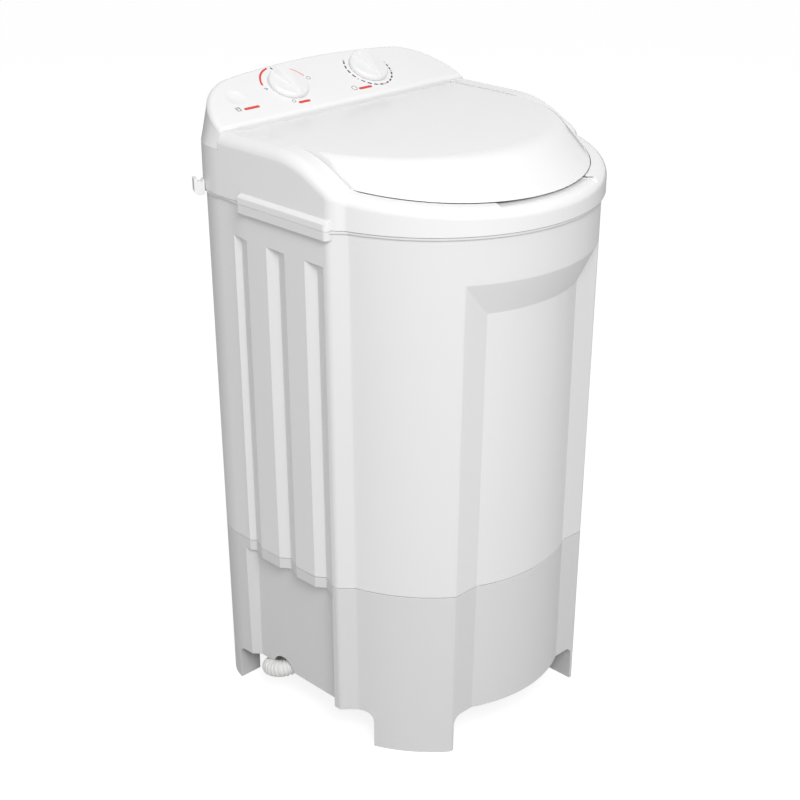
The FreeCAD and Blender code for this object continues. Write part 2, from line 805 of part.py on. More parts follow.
def cover_block(name, inset):
    """Cover without its hand ledges; with an inset, the hollow inside it."""
    body = new_body(name)
    pad(body, 100, f"dims.cover_bottom - {inset}", cover_outline(inset))
    pocket(body, 2 * FAR, FAR, cover_top(inset), plane="YZ_Plane")
    round_edges(body, f"dims.cover_round - {inset}", is_upper_edge(value("dims.cover_bottom") + 8))
    well = lid_plan(0, f"-dims.lid_gap - {inset}")
    pocket(body, f"900 - dims.lid_seat + {inset}", 900, well)
    deck = rectangle(-FAR, f"dims.deck_y - {inset}", FAR, FAR)
    pocket(body, f"900 - dims.deck_z + {inset}", 900, deck)
    mouth, rear = f"(dims.mouth_radius + {inset})", f"(dims.mouth_rear + {inset})"
    half = f"sqrt({mouth}^2 - {rear}^2)"
    pocket(body, 200, 900, [(f"-{half}", rear), ("0", f"-{mouth}", mouth, 1), (half, rear, mouth, 1)])
    return body


def finger_recess(name, inset):
    """Shallow scoop that follows the rounded front rim, for the fingers that lift the lid's edge."""
    centre_y = "-(dims.cover_radius - dims.cover_round)"
    centre_z = "(dims.rim_top - dims.cover_round)"
    floor = f"(dims.cover_round - dims.finger_depth - {inset})"
    lip = "(dims.cover_round + 3)"
    drop = f"(dims.finger_drop * 1 deg + {inset} / dims.cover_round * 60 deg)"
    outline = [
        (f"-dims.finger_inner + {inset}", f"{centre_z} + {lip}"),
        (f"-dims.finger_inner + {inset}", f"{centre_z} + {floor}"),
        (centre_y, f"{centre_z} + {floor}"),
        (f"{centre_y} - {floor} * sin({drop})", f"{centre_z} + {floor} * cos({drop})", floor, 1),
        (f"{centre_y} - {lip} * sin({drop})", f"{centre_z} + {lip} * cos({drop})"),
        (f"{centre_y} - {lip} * sin({drop})", f"{centre_z} + {lip}"),
    ]
    scoop = doc.addObject("Part::Revolution", name)
    scoop.Source = loose_sketch(f"{name}_outline", outline, UPRIGHT_SIDE)
    scoop.Axis = Vector(0, 0, 1)
    scoop.Symmetric = True
    scoop.Solid = True
    return bind(scoop, Angle=f"2 * dims.finger_turn + {inset}")


def make_top_cover():
    """Moulded rim and arms around the lid well, hollow below, with hand ledges and a finger recess."""
    outer = cover_block("cover_outer", 0)
    space = cover_block("cover_space", "dims.cover_wall")
    hollow = cut("cover_hollow", space, finger_recess("finger_liner", "dims.cover_wall"))
    pins = [
        cylinder(f"cover_pin_hole_{n}", "dims.hinge_pin_radius + 0.02", 30, x, "dims.hinge_y",
                 "dims.hinge_z", Rotation(Vector(0, 1, 0), 90))
        for n, x in enumerate((-225, 195))
    ]
    sill = "dims.lid_half + dims.lid_gap"
    behind_lid = block(
        "behind_lid", (f"-({sill})", sill), ("dims.lid_rear", "dims.deck_y + 1"), ("dims.sill_z", 900)
    )
    shell = cut("cover_shell", outer, hollow, finger_recess("finger_recess", 0), behind_lid, *pins)
    ledges = hand_ledges("cover_ledge", [
        ("dims.ledge_root", "dims.cover_bottom"),
        ("dims.ledge_half", "dims.cover_bottom"),
        ("dims.ledge_half", "dims.ledge_brow"),
        ("dims.ledge_half - 2", "dims.ledge_brow + 2"),
        ("dims.ledge_root", "dims.ledge_top"),
    ])
    piece(fuse("top_cover", shell, *ledges), "top_cover")


def lid_block(name, inset):
    """Lid block: its lower edge is tilted with the rim, and the round front leans back into the flat top."""
    lean = "atan(dims.lid_skew / (dims.lid_high - dims.lid_low))"
    turn = f"(90 deg - {lean})"
    tilted = Rotation(Vector(1, 0, 0), value("dims.rim_tilt"))
    rise = "dims.lid_radius * tan(dims.rim_tilt * 1 deg)"
    sections = [loose_sketch(f"{name}_low", lid_plan(0, inset), tilted, f"dims.lid_low + {rise} - {inset}")]
    for step in range(LID_STEPS + 1):
        left = f"{turn} * {1 - step / LID_STEPS}"
        drop = f"(dims.lid_round * (1 - cos({left})))"
        skew = f"dims.lid_skew + dims.lid_round * (tan({turn} / 2) - sin({left}))"
        roll = f"{inset} + dims.lid_side_round * {(step / LID_STEPS) ** 2}"
        sections.append(loose_sketch(
            f"{name}_{step}", lid_plan(f"({skew})", roll), level=f"dims.lid_high - {drop} - {inset}",
        ))
    return loft(name, *sections)


def make_lid():
    """Hollow lid that turns on two pins near its rear edge."""
    outer = lid_block("lid_outer", 0)
    hollow = lid_block("lid_hollow", "dims.lid_wall")
    bore = cylinder("lid_pin_bore", "dims.hinge_pin_radius + 0.05", 460, -230, "dims.hinge_y",
                    "dims.hinge_z", Rotation(Vector(0, 1, 0), 90))
    piece(cut("lid", outer, hollow, bore), "lid")
    pins = [
        cylinder(f"lid_pin_{n}", "dims.hinge_pin_radius", 12, x, "dims.hinge_y", "dims.hinge_z",
                 Rotation(Vector(0, 1, 0), 90))
        for n, x in enumerate(("-dims.lid_half - 9", "dims.lid_half - 3"))
    ]
    piece(group("lid_hinge_pins", *pins), "lid_hinge_pins")


# Control panel
TILT = "dims.panel_tilt * 1 deg"


def panel_spot(up, lift=0):
    """Height and depth of a point on the sloped face, up the slope and off the face."""
    y = f"dims.panel_front + ({up}) * cos({TILT}) - ({lift}) * sin({TILT})"
    z = f"dims.panel_front_z + ({up}) * sin({TILT}) + ({lift}) * cos({TILT})"
    return y, z


def on_panel(thing, x, up, lift=0):
    """Stand an object square on the sloped face."""
    thing.Placement = Placement(Vector(), Rotation(Vector(1, 0, 0), value("dims.panel_tilt")))
    y, z = panel_spot(up, lift)
    return place(thing, x, y, z)


def panel_block(name, inset):
    """Panel block with a bowed rear below the sloped face; with an inset, the hollow inside it."""
    rear = f"(dims.panel_rear - {inset})"
    corner = f"(dims.panel_corner - {inset})"
    front = f"(dims.panel_front + {inset})"
    bow = f"(dims.panel_bow - {inset})"
    turn_x = "(dims.panel_half - dims.panel_corner)"
    rise = f"sqrt(({bow} - {corner})^2 - {turn_x}^2)"
    turn_y = f"({rear} - {bow} + {rise})"
    front_x = f"({turn_x} + sqrt({corner}^2 - ({front} - {turn_y})^2))"
    join_x = f"({turn_x} * {bow} / ({bow} - {corner}))"
    join_y = f"{rear} - {bow} + {rise} * {bow} / ({bow} - {corner})"
    plan = [
        (front_x, front),
        (join_x, join_y, corner, 1),
        (f"-{join_x}", join_y, bow, 1),
        (f"-{front_x}", front, corner, 1),
    ]
    drop = f"{inset} / cos({TILT})"
    above = [
        (0, f"dims.panel_front_z - dims.panel_front * tan({TILT}) - {drop}"),
        (FAR, f"dims.panel_front_z + ({FAR} - dims.panel_front) * tan({TILT}) - {drop}"),
        (FAR, 1100),
        (0, 1100),
    ]
    body = new_body(name)
    pad(body, 120, f"dims.panel_bottom - {inset}", plan)
    pocket(body, 2 * FAR, FAR, above, plane="YZ_Plane")
    round_edges(body, f"dims.panel_round - {inset}", lambda edge: min(p.z for p in edge_points(edge)) > 860)
    return body


def make_control_panel():
    """Hollow sloped panel with spindle holes and a shallow round dimple."""
    outer = panel_block("panel_outer", 0)
    hollow = panel_block("panel_hollow", "dims.panel_wall")
    holes = [
        on_panel(bind(doc.addObject("Part::Cylinder", f"spindle_hole_{n}"),
                      Radius="dims.spindle_radius + 1.2", Height=20), x, "dims.knob_up", -10)
        for n, x in enumerate(("dims.selector_x", "dims.timer_x"))
    ]
    ball = "((dims.dimple_radius^2 + dims.dimple_depth^2) / (2 * dims.dimple_depth))"
    dimple = bind(doc.addObject("Part::Sphere", "dimple"), Radius=ball)
    on_panel(dimple, "dims.dimple_x", "dims.dimple_up", f"{ball} - dims.dimple_depth")
    piece(cut("control_panel", outer, hollow, dimple, *holes), "control_panel")


def make_control(name, switch, x):
    """Knob with a wedge grip, its spindle and the switch or timer below it, square to the sloped face."""
    bore = "dims.spindle_radius + 0.02"
    knob = new_body(f"{name}_knob")
    revolve(knob, [
        (bore, "dims.knob_lift"),
        ("dims.knob_radius", "dims.knob_lift"),
        ("dims.knob_radius", "dims.knob_lift + 3"),
        ("dims.knob_radius - 3", "dims.knob_disc", 5, 1),
        (bore, "dims.knob_disc"),
    ])
    nose, heel, reach = "dims.knob_grip_front", "dims.knob_grip_rear", "dims.knob_grip_reach"
    bar = pad(knob, "dims.knob_grip - dims.knob_disc + 0.5", "dims.knob_disc - 0.5", [
        (nose, f"-{reach}"),
        (heel, reach),
        (f"-{heel}", reach),
        (f"-{nose}", f"-{reach}"),
    ])
    bind(bar, TaperAngle="dims.knob_grip_taper")
    pocket(knob, 100, 50, [
        (f"-{reach}", "dims.knob_nose"),
        (reach, "dims.knob_grip"),
        (reach, 40),
        ("-dims.knob_radius - 1", 40),
        ("-dims.knob_radius - 1", "dims.knob_nose"),
    ], plane="YZ_Plane")
    spindle = turned(f"{name}_shaft", [
        ("0", "-dims.switch_depth + 6"),
        ("dims.spindle_radius", "-dims.switch_depth + 6"),
        ("dims.spindle_radius", "dims.spindle_top"),
        ("0", "dims.spindle_top"),
    ])
    running = "dims.spindle_radius + 0.05"
    housing = turned(switch, [
        ("0", "-dims.switch_depth"),
        ("dims.switch_radius", "-dims.switch_depth"),
        ("dims.switch_radius", "-dims.panel_wall - 4"),
        ("8", "-dims.panel_wall - 4"),
        ("8", "-dims.panel_wall - 0.6"),
        (running, "-dims.panel_wall - 0.6"),
        (running, "-dims.switch_depth + 5"),
        ("0", "-dims.switch_depth + 5"),
    ])
    for thing, label in ((knob, f"{name}_knob"), (spindle, f"{name}_shaft"), (housing, switch)):
        on_panel(thing, x, "dims.knob_up")
        piece(thing, label, panel_spot("dims.knob_up")[0])


# Drive
def make_pulsator():
    """Disc with a raised hub and four vanes, and the screw that holds it on the shaft."""
    pulsator = new_body("pulsator")
    bore = "dims.shaft_radius + 0.02"
    edge, low, hub = "dims.pulsator_radius", "dims.pulsator_low", "dims.pulsator_hub"
    revolve(pulsator, [
        (bore, low),
        (f"{edge} - 2", low),
        (edge, f"{low} + 3"),
        (f"{edge} - 4", f"{low} + 6", 4, 1),
        ("56", f"{low} + 10"),
        ("30", f"{hub} - 4", 60, -1),
        ("24", hub, 6, 1),
        (bore, hub),
    ])
    vane = pad(pulsator, f"dims.vane_top - {low} - 4", f"{low} + 4", [
        ("28", "-10"),
        (f"{edge} - 14", "-5"),
        (f"{edge} - 14", "5", "5.2", 1),
        ("28", "10"),
    ])
    pattern(pulsator, vane, 4)
    piece(pulsator, "pulsator")
    piece(turned("pulsator_screw", [
        ("0", "dims.shaft_high - 12"),
        ("4", "dims.shaft_high - 12"),
        ("4", hub),
        ("12", hub),
        ("12", f"{hub} + 2"),
        ("9", f"{hub} + 4"),
        ("0", f"{hub} + 4"),
    ]), "pulsator_screw")


def make_bearing():
    """Drive shaft in its flanged housing, with two bushes and a seal."""
    radius, high = "dims.shaft_radius", "dims.shaft_high"
    piece(turned("drive_shaft", [
        ("0", "dims.shaft_low"),
        (radius, "dims.shaft_low"),
        (radius, high),
        ("4.1", high),
        ("4.1", f"{high} - 14"),
        ("0", f"{high} - 14"),
    ]), "drive_shaft")
    bore, body, low = "dims.housing_bore", "dims.housing_radius", "dims.housing_low"
    flange = "dims.hub_pad_z - 6"
    housing = turned("bearing_housing", [
        (bore, low),
        (f"{body} - 4", low),
        (body, f"{low} + 6"),
        (body, flange),
        ("dims.housing_flange", flange),
        ("dims.housing_flange", "dims.hub_pad_z"),
        ("dims.hub_hole_radius - 0.3", "dims.hub_pad_z"),
        ("dims.hub_hole_radius - 0.3", "dims.tub_dish"),
        (bore, "dims.tub_dish"),
    ])
    bolt = pocket(housing, 12, "dims.hub_pad_z + 3", ("dims.bearing_bolt_circle", "0", 3.1))
    pattern(housing, bolt, 4)
    piece(housing, "bearing_housing")
    rings = []
    for name, start, length in (("low", f"{low} + 2", 20), ("high", "dims.hub_pad_z - 28", 20)):
        rings.append(cut(
            f"bush_{name}",
            cylinder(f"bush_{name}_outer", f"{bore} - 0.02", length, z=start),
            cylinder(f"bush_{name}_bore", f"{radius} + 0.05", length, z=start),
        ))
    piece(group("shaft_bushes", *rings), "shaft_bushes")
    piece(turned("shaft_seal", [
        (f"{radius} + 0.05", "dims.hub_pad_z + 1"),
        (f"{bore} - 0.02", "dims.hub_pad_z + 1"),
        (f"{bore} - 0.02", "dims.tub_dish - 0.5"),
        (f"{radius} + 2", "dims.tub_dish - 0.5"),
        (f"{radius} + 0.05", "dims.tub_dish - 4"),
    ]), "shaft_seal")


def pulley_rim(pitch):
    """Grooved rim of a pulley, from its lower outer corner upwards."""
    room, thick = "dims.belt_room", "dims.belt_half_thick"
    outer, bottom = f"{pitch} + {thick} + 1", f"{pitch} - {thick} - {room}"
    wide, narrow = f"(dims.belt_outer_half + {room})", f"(dims.belt_inner_half + {room})"
    return [
        (outer, "dims.belt_z - dims.pulley_half"),
        (outer, f"dims.belt_z - {wide}"),
        (bottom, f"dims.belt_z - {narrow}"),
        (bottom, f"dims.belt_z + {narrow}"),
        (outer, f"dims.belt_z + {wide}"),
        (outer, "dims.belt_z + dims.pulley_half"),
    ]


def make_driven_pulley():
    """Large belt pulley with a thin web and six round windows."""
    pulley = new_body("driven_pulley")
    bore, pitch, half = "dims.shaft_radius + 0.02", "dims.driven_pitch", "dims.pulley_half"
    inner = f"{pitch} - 13"
    revolve(pulley, [
        (bore, f"dims.belt_z - {half}"),
        ("20", f"dims.belt_z - {half}"),
        ("20", "dims.belt_z - 2"),
        (inner, "dims.belt_z - 2"),
        (inner, f"dims.belt_z - {half}"),
        *pulley_rim(pitch),
        (inner, f"dims.belt_z + {half}"),
        (inner, "dims.belt_z + 2"),
        ("20", "dims.belt_z + 2"),
        ("20", f"dims.belt_z + {half}"),
        (bore, f"dims.belt_z + {half}"),
    ])
    window = pocket(pulley, 20, "dims.belt_z + 10", ("45", "0", "15"))
    pattern(pulley, window, 6)
    piece(pulley, "driven_pulley")


def make_motor():
    """Motor under its bracket, with shaft, small pulley and run capacitor."""
    shaft, low = "dims.motor_shaft_radius", "dims.motor_low"
    plate = "dims.hub_pad_z - 6 - dims.plate_thick"
    motor = turned("motor", [
        (f"{shaft} + 0.05", low),
        ("20", low),
        ("22", f"{low} + 6"),
        ("dims.motor_radius - 8", f"{low} + 10"),
        ("dims.motor_radius", f"{low} + 18", 10, 1),
        ("dims.motor_radius", f"{plate} - 16"),
        ("dims.motor_radius - 8", f"{plate} - 7", 10, 1),
        ("44", f"{plate} - 7"),
        ("44", plate),
        ("0", plate),
        ("0", f"{plate} - 12"),
        (f"{shaft} + 0.05", f"{plate} - 12"),
    ])
    tapped = pocket(motor, 8, plate, ("dims.motor_bolt_circle", "0", 3.1))
    pattern(motor, tapped, 4)
    piece(motor, "motor", "dims.motor_y")
    piece(turned("motor_shaft", [
        ("0", "dims.belt_z - dims.pulley_half - 4"),
        (shaft, "dims.belt_z - dims.pulley_half - 4"),
        (shaft, f"{plate} - 13"),
        ("0", f"{plate} - 13"),
    ]), "motor_shaft", "dims.motor_y")
    bore = f"{shaft} + 0.02"
    piece(turned("motor_pulley", [
        (bore, "dims.belt_z - dims.pulley_half"),
        *pulley_rim("dims.motor_pitch"),
        (bore, "dims.belt_z + dims.pulley_half"),
    ]), "motor_pulley", "dims.motor_y")
    piece(turned("run_capacitor", [
        ("0", f"{plate} - 62"),
        ("17", f"{plate} - 62"),
        ("19", f"{plate} - 60"),
        ("19", f"{plate} - 2"),
        ("8", f"{plate} - 2"),
        ("8", plate),
        ("0", plate),
    ]), "run_capacitor", -48).setExpression("Placement.Base.x", "46")


def make_bracket():
    """Folded steel plate under the tub's hub that carries the motor."""
    bracket = new_body("motor_bracket")
    low = "dims.hub_pad_z - 6 - dims.plate_thick"
    pad(bracket, "dims.plate_thick", low, rectangle(-70, -74, 70, 190),
        ("0", "0", "dims.housing_radius + 0.5"))
    for side in (-1, 1):
        edges = sorted((70 * side, 67 * side))
        pad(bracket, 14.5, f"{low} - 14", rectangle(edges[0], -74, edges[1], 190))
    holes = pocket(bracket, 10, f"{low} + 6", ("dims.bearing_bolt_circle", "0", 3.2))
    pattern(bracket, holes, 4)
    doc.recompute()
    turn = "dims.motor_bolt_circle"
    for x, y in ((1, 0), (-1, 0), (0, 1), (0, -1)):
        across = f"{x} * {turn}" if x else "0"
        pocket(bracket, 10, f"{low} + 6", (across, f"dims.motor_y + {y} * {turn}", 3.2))
    piece(bracket, "motor_bracket")


def make_belt():
    """Wedge belt on its two tangent runs round the pulleys."""
    big, small, far = "dims.driven_pitch", "dims.motor_pitch", "dims.motor_y"
    lean = f"asin(({big} - {small}) / {far})"
    right = f"cos({lean})", f"sin({lean})"
    path = doc.addObject("Sketcher::SketchObject", "belt_path")
    path.setExpression("Placement.Base.z", "dims.belt_z")
    corners = [
        (f"{small} * {right[0]}", f"{far} + {small} * {right[1]}"),
        (f"-{small} * {right[0]}", f"{far} + {small} * {right[1]}", small, 1),
        (f"-{big} * {right[0]}", f"{big} * {right[1]}"),
        ("0", f"-{big}", big, 1),
        (f"{big} * {right[0]}", f"{big} * {right[1]}", big, 1),
    ]
    draw_outline(path, corners)
    half, wide, narrow = "dims.belt_half_thick", "dims.belt_outer_half", "dims.belt_inner_half"
    section = doc.addObject("Sketcher::SketchObject", "belt_section")
    section.Placement = Placement(Vector(), UPRIGHT_SIDE)
    section.setExpression("Placement.Base.z", "dims.belt_z")
    draw_outline(section, [
        (f"-{big} - {half}", f"-{wide}"),
        (f"-{big} + {half}", f"-{narrow}"),
        (f"-{big} + {half}", narrow),
        (f"-{big} - {half}", wide),
    ])
    belt = doc.addObject("Part::Sweep", "drive_belt")
    belt.Sections = [section]
    belt.Spine = path
    belt.Solid = True
    belt.Frenet = False
    piece(belt, "drive_belt")


def screw_group(label, places, seat, head_radius, head, shank_radius, shank):
    """Upright screws with their heads below the seat height, as separate solids of one node."""
    screws = []
    for n, (x, y) in enumerate(places):
        screws.append(fuse(
            f"{label}_{n}",
            cylinder(f"{label}_head_{n}", head_radius, head, x, y, f"{seat} - {head}"),
            cylinder(f"{label}_shank_{n}", shank_radius, shank, x, y, seat),
        ))
    piece(group(label, *screws), label)


def make_screws():
    """Screws of the bearing housing, the motor and the joint of base and cabinet."""
    plate = "dims.hub_pad_z - 6 - dims.plate_thick"
    around = ((1, 0), (0, 1), (-1, 0), (0, -1))
    bearing = [(f"{x} * dims.bearing_bolt_circle", f"{y} * dims.bearing_bolt_circle") for x, y in around]
    screw_group("bearing_screws", bearing, plate, 6, 4, 3, 17)
    motor = [
        (f"{x} * dims.motor_bolt_circle", f"dims.motor_y + {y} * dims.motor_bolt_circle") for x, y in around
    ]
    above = []
    for n, (x, y) in enumerate(motor):
        above.append(fuse(
            f"motor_screw_{n}",
            cylinder(f"motor_screw_head_{n}", 6, 4, x, y, f"{plate} + dims.plate_thick"),
            cylinder(f"motor_screw_shank_{n}", 3, 10, x, y, f"{plate} + dims.plate_thick - 10"),
        ))
    piece(group("motor_screws", *above), "motor_screws")
    joint = [(side * x, y) for x, y in JOINT_SCREWS for side in (-1, 1)]
    screw_group("base_screws", joint, "dims.base_top - dims.joint_deck", 5, 3, 2.2, 11)


# Drain
def make_drain():
    """Outlet through the tub's floor with nut, strainer and hose clamp."""
    x, y = "dims.drain_x", "dims.drain_y"
    tube, spigot, floor = "dims.drain_radius", "dims.spigot_radius", "dims.tub_floor"
    fitting = turned("drain_fitting", [
        (f"{spigot} - 2", "dims.hose_start_z - 14"),
        (spigot, "dims.hose_start_z - 14"),
        (spigot, "dims.hose_start_z + 16"),
        (tube, "dims.hose_start_z + 30"),
        (tube, floor),
        ("20", floor),
        ("20", f"{floor} + 3"),
        (f"{tube} - 2.5", f"{floor} + 3"),
        (f"{tube} - 2.5", "dims.hose_start_z + 30"),
        (f"{spigot} - 2", "dims.hose_start_z + 18"),
    ])
    nut = turned("drain_nut", [
        (f"{tube} + 0.1", f"{floor} - dims.tub_wall - 10"),
        ("dims.drain_nut_radius", f"{floor} - dims.tub_wall - 10"),
        ("dims.drain_nut_radius", f"{floor} - dims.tub_wall"),
        (f"{tube} + 0.1", f"{floor} - dims.tub_wall"),
    ])
    strainer = turned("drain_strainer", [
        ("0", f"{floor} + 3"),
        ("19", f"{floor} + 3"),
        ("17", f"{floor} + 5"),
        ("0", f"{floor} + 5"),
    ])
    slot = pocket(strainer, 10, f"{floor} + 9", ("8", "0", "2.4"))
    pattern(strainer, slot, 6)
    clamp = turned("hose_clamp", [
        ("dims.hose_radius + 0.1", "dims.hose_start_z - 12"),
        ("dims.hose_radius + 2", "dims.hose_start_z - 12"),
        ("dims.hose_radius + 2", "dims.hose_start_z - 4"),
        ("dims.hose_radius + 0.1", "dims.hose_start_z - 4"),
    ])
    for thing in (fitting, nut, strainer, clamp):
        piece(thing, thing.Name, y).setExpression("Placement.Base.x", x)


# Route of the drain hose from the outlet, out through the notch and round on the floor below the base
HOSE_ROUTE = [
    (-125, 84, 236),
    (-125, 84, 176),
    (-128, 84, 116),
    (-147, 84, 79),
    (-176, 84, 58),
    (-223, 84, 56),
    (-223, 131, 41),
    (-165, 137, 27),
    (-108, 148, 17),
    (-45, 169, 13),
    (61, 169, 13),
    (135, 95, 13),
    (135, -11, 13),
    (61, -85, 13),
    (-45, -85, 13),
    (-119, -11, 13),
    (-119, 94, 13),
]
BEND_SHARE = 0.49


def hose_path():
    """Straight runs joined by tangent arcs, each as large as its two runs allow."""
    points = [Vector(*p) for p in HOSE_ROUTE]
    edges, radii = [], []
    start = points[0]
    for before, corner, after in zip(points, points[1:], points[2:]):
        run_in, run_out = corner - before, after - corner
        into, out = run_in.normalize() * 1, run_out.normalize() * 1
        reach = BEND_SHARE * min((corner - before).Length, (after - corner).Length)
        half_turn = into.getAngle(out) / 2
        first, last = corner - into * reach, corner + out * reach
        radius = reach / math.tan(half_turn)
        inward = (out - into).normalize()
        middle = corner + inward * (radius / math.cos(half_turn) - radius)
        edges.append(Part.LineSegment(start, first).toShape())
        edges.append(Part.Arc(first, middle, last).toShape())
        radii.append(round(radius, 1))
        start = last
    edges.append(Part.LineSegment(start, points[-1]).toShape())
    print("hose bend radii", radii)
    return Part.Wire(edges)


def along(path, distance):
    """Point and direction on a path at a distance from its start."""
    for edge in path.Edges:
        if distance <= edge.Length or edge.isSame(path.Edges[-1]):
            parameter = edge.getParameterByLength(min(distance, edge.Length))
            return edge.valueAt(parameter), edge.tangentAt(parameter)
        distance -= edge.Length
    raise ValueError("distance runs past the path")


def ring_loft(path, stations):
    """Solid through circles square to a path, each given by its distance and radius."""
    steady = Vector(0, 0, 1)
    rings = []
    for distance, radius in stations:
        spot, heading = along(path, distance)
        if abs(heading.z) > 0.99:
            steady = Vector(0, 1, 0)
        steady = steady - heading * steady.dot(heading)
        steady.normalize()
        circle = Part.Circle(spot, heading, radius)
        circle.XAxis = steady
        rings.append(Part.Wire(circle.toShape()))
    return Part.makeLoft(rings, True, True)


def make_hose():
    """Ribbed drain hose with its bore: smooth cuffs at the ends and raised ribs between them."""
    path = hose_path()
    crest, root, bore = value("dims.hose_radius"), value("dims.hose_root"), value("dims.hose_bore")
    cuff = 2 * crest
    count = int((path.Length - 2 * cuff) // value("dims.hose_rib_pitch"))
    pitch = (path.Length - 2 * cuff) / count
    stations, hollow = [(0, crest), (cuff - 0.5, crest)], [(0, bore)]
    for rib in range(count):
        start = cuff + rib * pitch
        stations += [(start, root), (start + 0.35 * pitch, root),
                     (start + 0.5 * pitch, crest), (start + 0.85 * pitch, crest)]
        hollow.append((start, bore))
    stations += [(path.Length - cuff, crest), (path.Length, crest)]
    hollow += [(path.Length - cuff, bore), (path.Length, bore)]
    hose = doc.addObject("Part::Feature", "drain_hose")
    hose.Shape = ring_loft(path, stations).cut(ring_loft(path, hollow))
    swept = math.pi * (((crest + root) / 2) ** 2 - bore ** 2) * path.Length
    print("hose length", round(path.Length), "ribs", count, "pitch", round(pitch, 2),
          "volume", round(hose.Shape.Volume), "expected about", round(swept))
    piece(hose, "drain_hose")


def make_hook_and_gland():
    """Hose hook on the rear left corner, and the gland of the mains lead in the base's rear wall."""
    hook = new_body("hose_hook")
    pad(hook, 14, -7, [
        ("0.2", "-9"),
        ("10", "-9"),
        ("15", "-4"),
        ("15", "13"),
        ("13", "15", 2, 1),
        ("10.5", "15"),
        ("9.5", "9"),
        ("4", "9"),
        ("2.5", "12"),
        ("0.2", "12"),
    ], plane="XZ_Plane")
    hook.Placement = Placement(Vector(), Rotation(Vector(0, 0, 1), value("dims.hook_turn")))
    turn, corner = "(dims.hook_turn * 1 deg)", "dims.cover_corner"
    place(hook, f"-(dims.cover_side - {corner}) + {corner} * cos({turn})", 0, "dims.cover_bottom")
    piece(hook, "hose_hook", f"dims.cover_rear - {corner} + {corner} * sin({turn})")
    gland = turned("cord_gland", [
        ("4", -12),
        (GLAND_RADIUS, -12),
        (GLAND_RADIUS, "0.3"),
        ("12", "0.3"),
        ("12", "3.5"),
        ("7", "5", 12, 1),
        ("6", "9"),
        ("4", "9"),
    ])
    gland.Placement = Placement(Vector(), Rotation(Vector(1, 0, 0), -90))
    place(gland, GLAND_X, 0, GLAND_Z)
    piece(gland, "cord_gland", f"dims.rear_y + dims.draft * ({GLAND_Z} - dims.base_top) + 0.2")


def main():
    """Build every piece, check it and write its file."""
    make_base()
    make_cabinet()
    make_wash_tub()
    make_top_cover()
    make_lid()
    make_control_panel()
    make_control("selector", "selector_switch", "dims.selector_x")
    make_control("timer", "timer", "dims.timer_x")
    make_pulsator()
    make_bearing()
    make_driven_pulley()
    make_motor()
    make_bracket()
    make_belt()
    make_screws()
    make_drain()
    make_hose()
    make_hook_and_gland()
    doc.recompute()
    failed = [o.Label for o in doc.Objects if "Invalid" in o.State or "Error" in o.State]
    if failed:
        raise ValueError(f"failed objects: {failed}")
    os.makedirs("parts", exist_ok=True)
    for thing in pieces:
        shape = thing.Shape
        if shape.isNull() or not shape.isValid() or shape.Volume <= 0:
            raise ValueError(f"bad shape: {thing.Label}")
        shape.exportStep(f"parts/{thing.Label}.step")
        print(thing.Label, len(shape.Solids), "solid(s)", round(shape.Volume / 1000, 1), "cm3")


main()
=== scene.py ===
"""Dressed semi-automatic washing machine: moulded shells, printed panel, ribbed hose and studio."""
import json
import math

import bpy
from mathutils import Matrix, Vector


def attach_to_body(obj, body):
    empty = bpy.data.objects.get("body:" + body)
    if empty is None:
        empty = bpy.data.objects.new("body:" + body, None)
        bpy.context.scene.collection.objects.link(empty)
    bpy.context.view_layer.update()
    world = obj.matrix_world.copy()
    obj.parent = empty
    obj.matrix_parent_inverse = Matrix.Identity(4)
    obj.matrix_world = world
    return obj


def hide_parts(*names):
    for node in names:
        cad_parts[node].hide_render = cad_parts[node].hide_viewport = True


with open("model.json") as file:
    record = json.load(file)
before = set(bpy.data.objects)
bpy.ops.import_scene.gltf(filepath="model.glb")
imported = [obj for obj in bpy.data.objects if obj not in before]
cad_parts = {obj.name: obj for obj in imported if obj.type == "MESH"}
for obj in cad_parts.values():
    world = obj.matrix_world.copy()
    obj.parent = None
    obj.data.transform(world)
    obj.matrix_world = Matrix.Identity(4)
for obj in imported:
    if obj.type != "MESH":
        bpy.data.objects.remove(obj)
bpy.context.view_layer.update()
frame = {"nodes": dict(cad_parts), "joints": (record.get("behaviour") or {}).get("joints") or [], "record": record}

bl_info = {
    "name": "Semi-automatic washing machine",
    "version": (1, 0, 0),
    "blender": (4, 5, 0),
    "location": "View3D > Sidebar > Washer",
    "description": "Finishes the packed machine: shells, panel prints, hose, mechanism and studio",
    "category": "Object",
}

MM = 0.001
MACHINE = "machine"
JOINTS = {joint["name"]: joint for joint in frame["joints"]}
SLOT_OF = {part["node"]: part["material_slot"] for part in frame["record"]["subparts"]}

# Upright axis of the tub, as its y in millimetres
TUB_AXIS_Y = -11

# Route of the drain hose in millimetres from that axis, from the outlet to its end under the base
HOSE_ROUTE = [
    (-125, 84, 236),
    (-125, 84, 176),
    (-128, 84, 116),
    (-147, 84, 79),
    (-176, 84, 58),
    (-223, 84, 56),
    (-223, 131, 41),
    (-165, 137, 27),
    (-108, 148, 17),
    (-45, 169, 13),
    (61, 169, 13),
    (135, 95, 13),
    (135, -11, 13),
    (61, -85, 13),
    (-45, -85, 13),
    (-119, -11, 13),
    (-119, 94, 13),
]

# Camera found from the photograph: place in metres, angles in degrees
CAMERA_PLACE = (-1.5203, -1.479, 1.4)
CAMERA_AZIMUTH = 44.813
CAMERA_ELEVATION = 24.04
CAMERA_LENS = 71.44
CAMERA_SENSOR = 36


def colour(name, text, red, green, blue):
    """Colour property with an opaque default."""
    return bpy.props.FloatVectorProperty(
        name=name, description=text, subtype="COLOR", size=4, min=0, max=1,
        default=(red, green, blue, 1),
    )


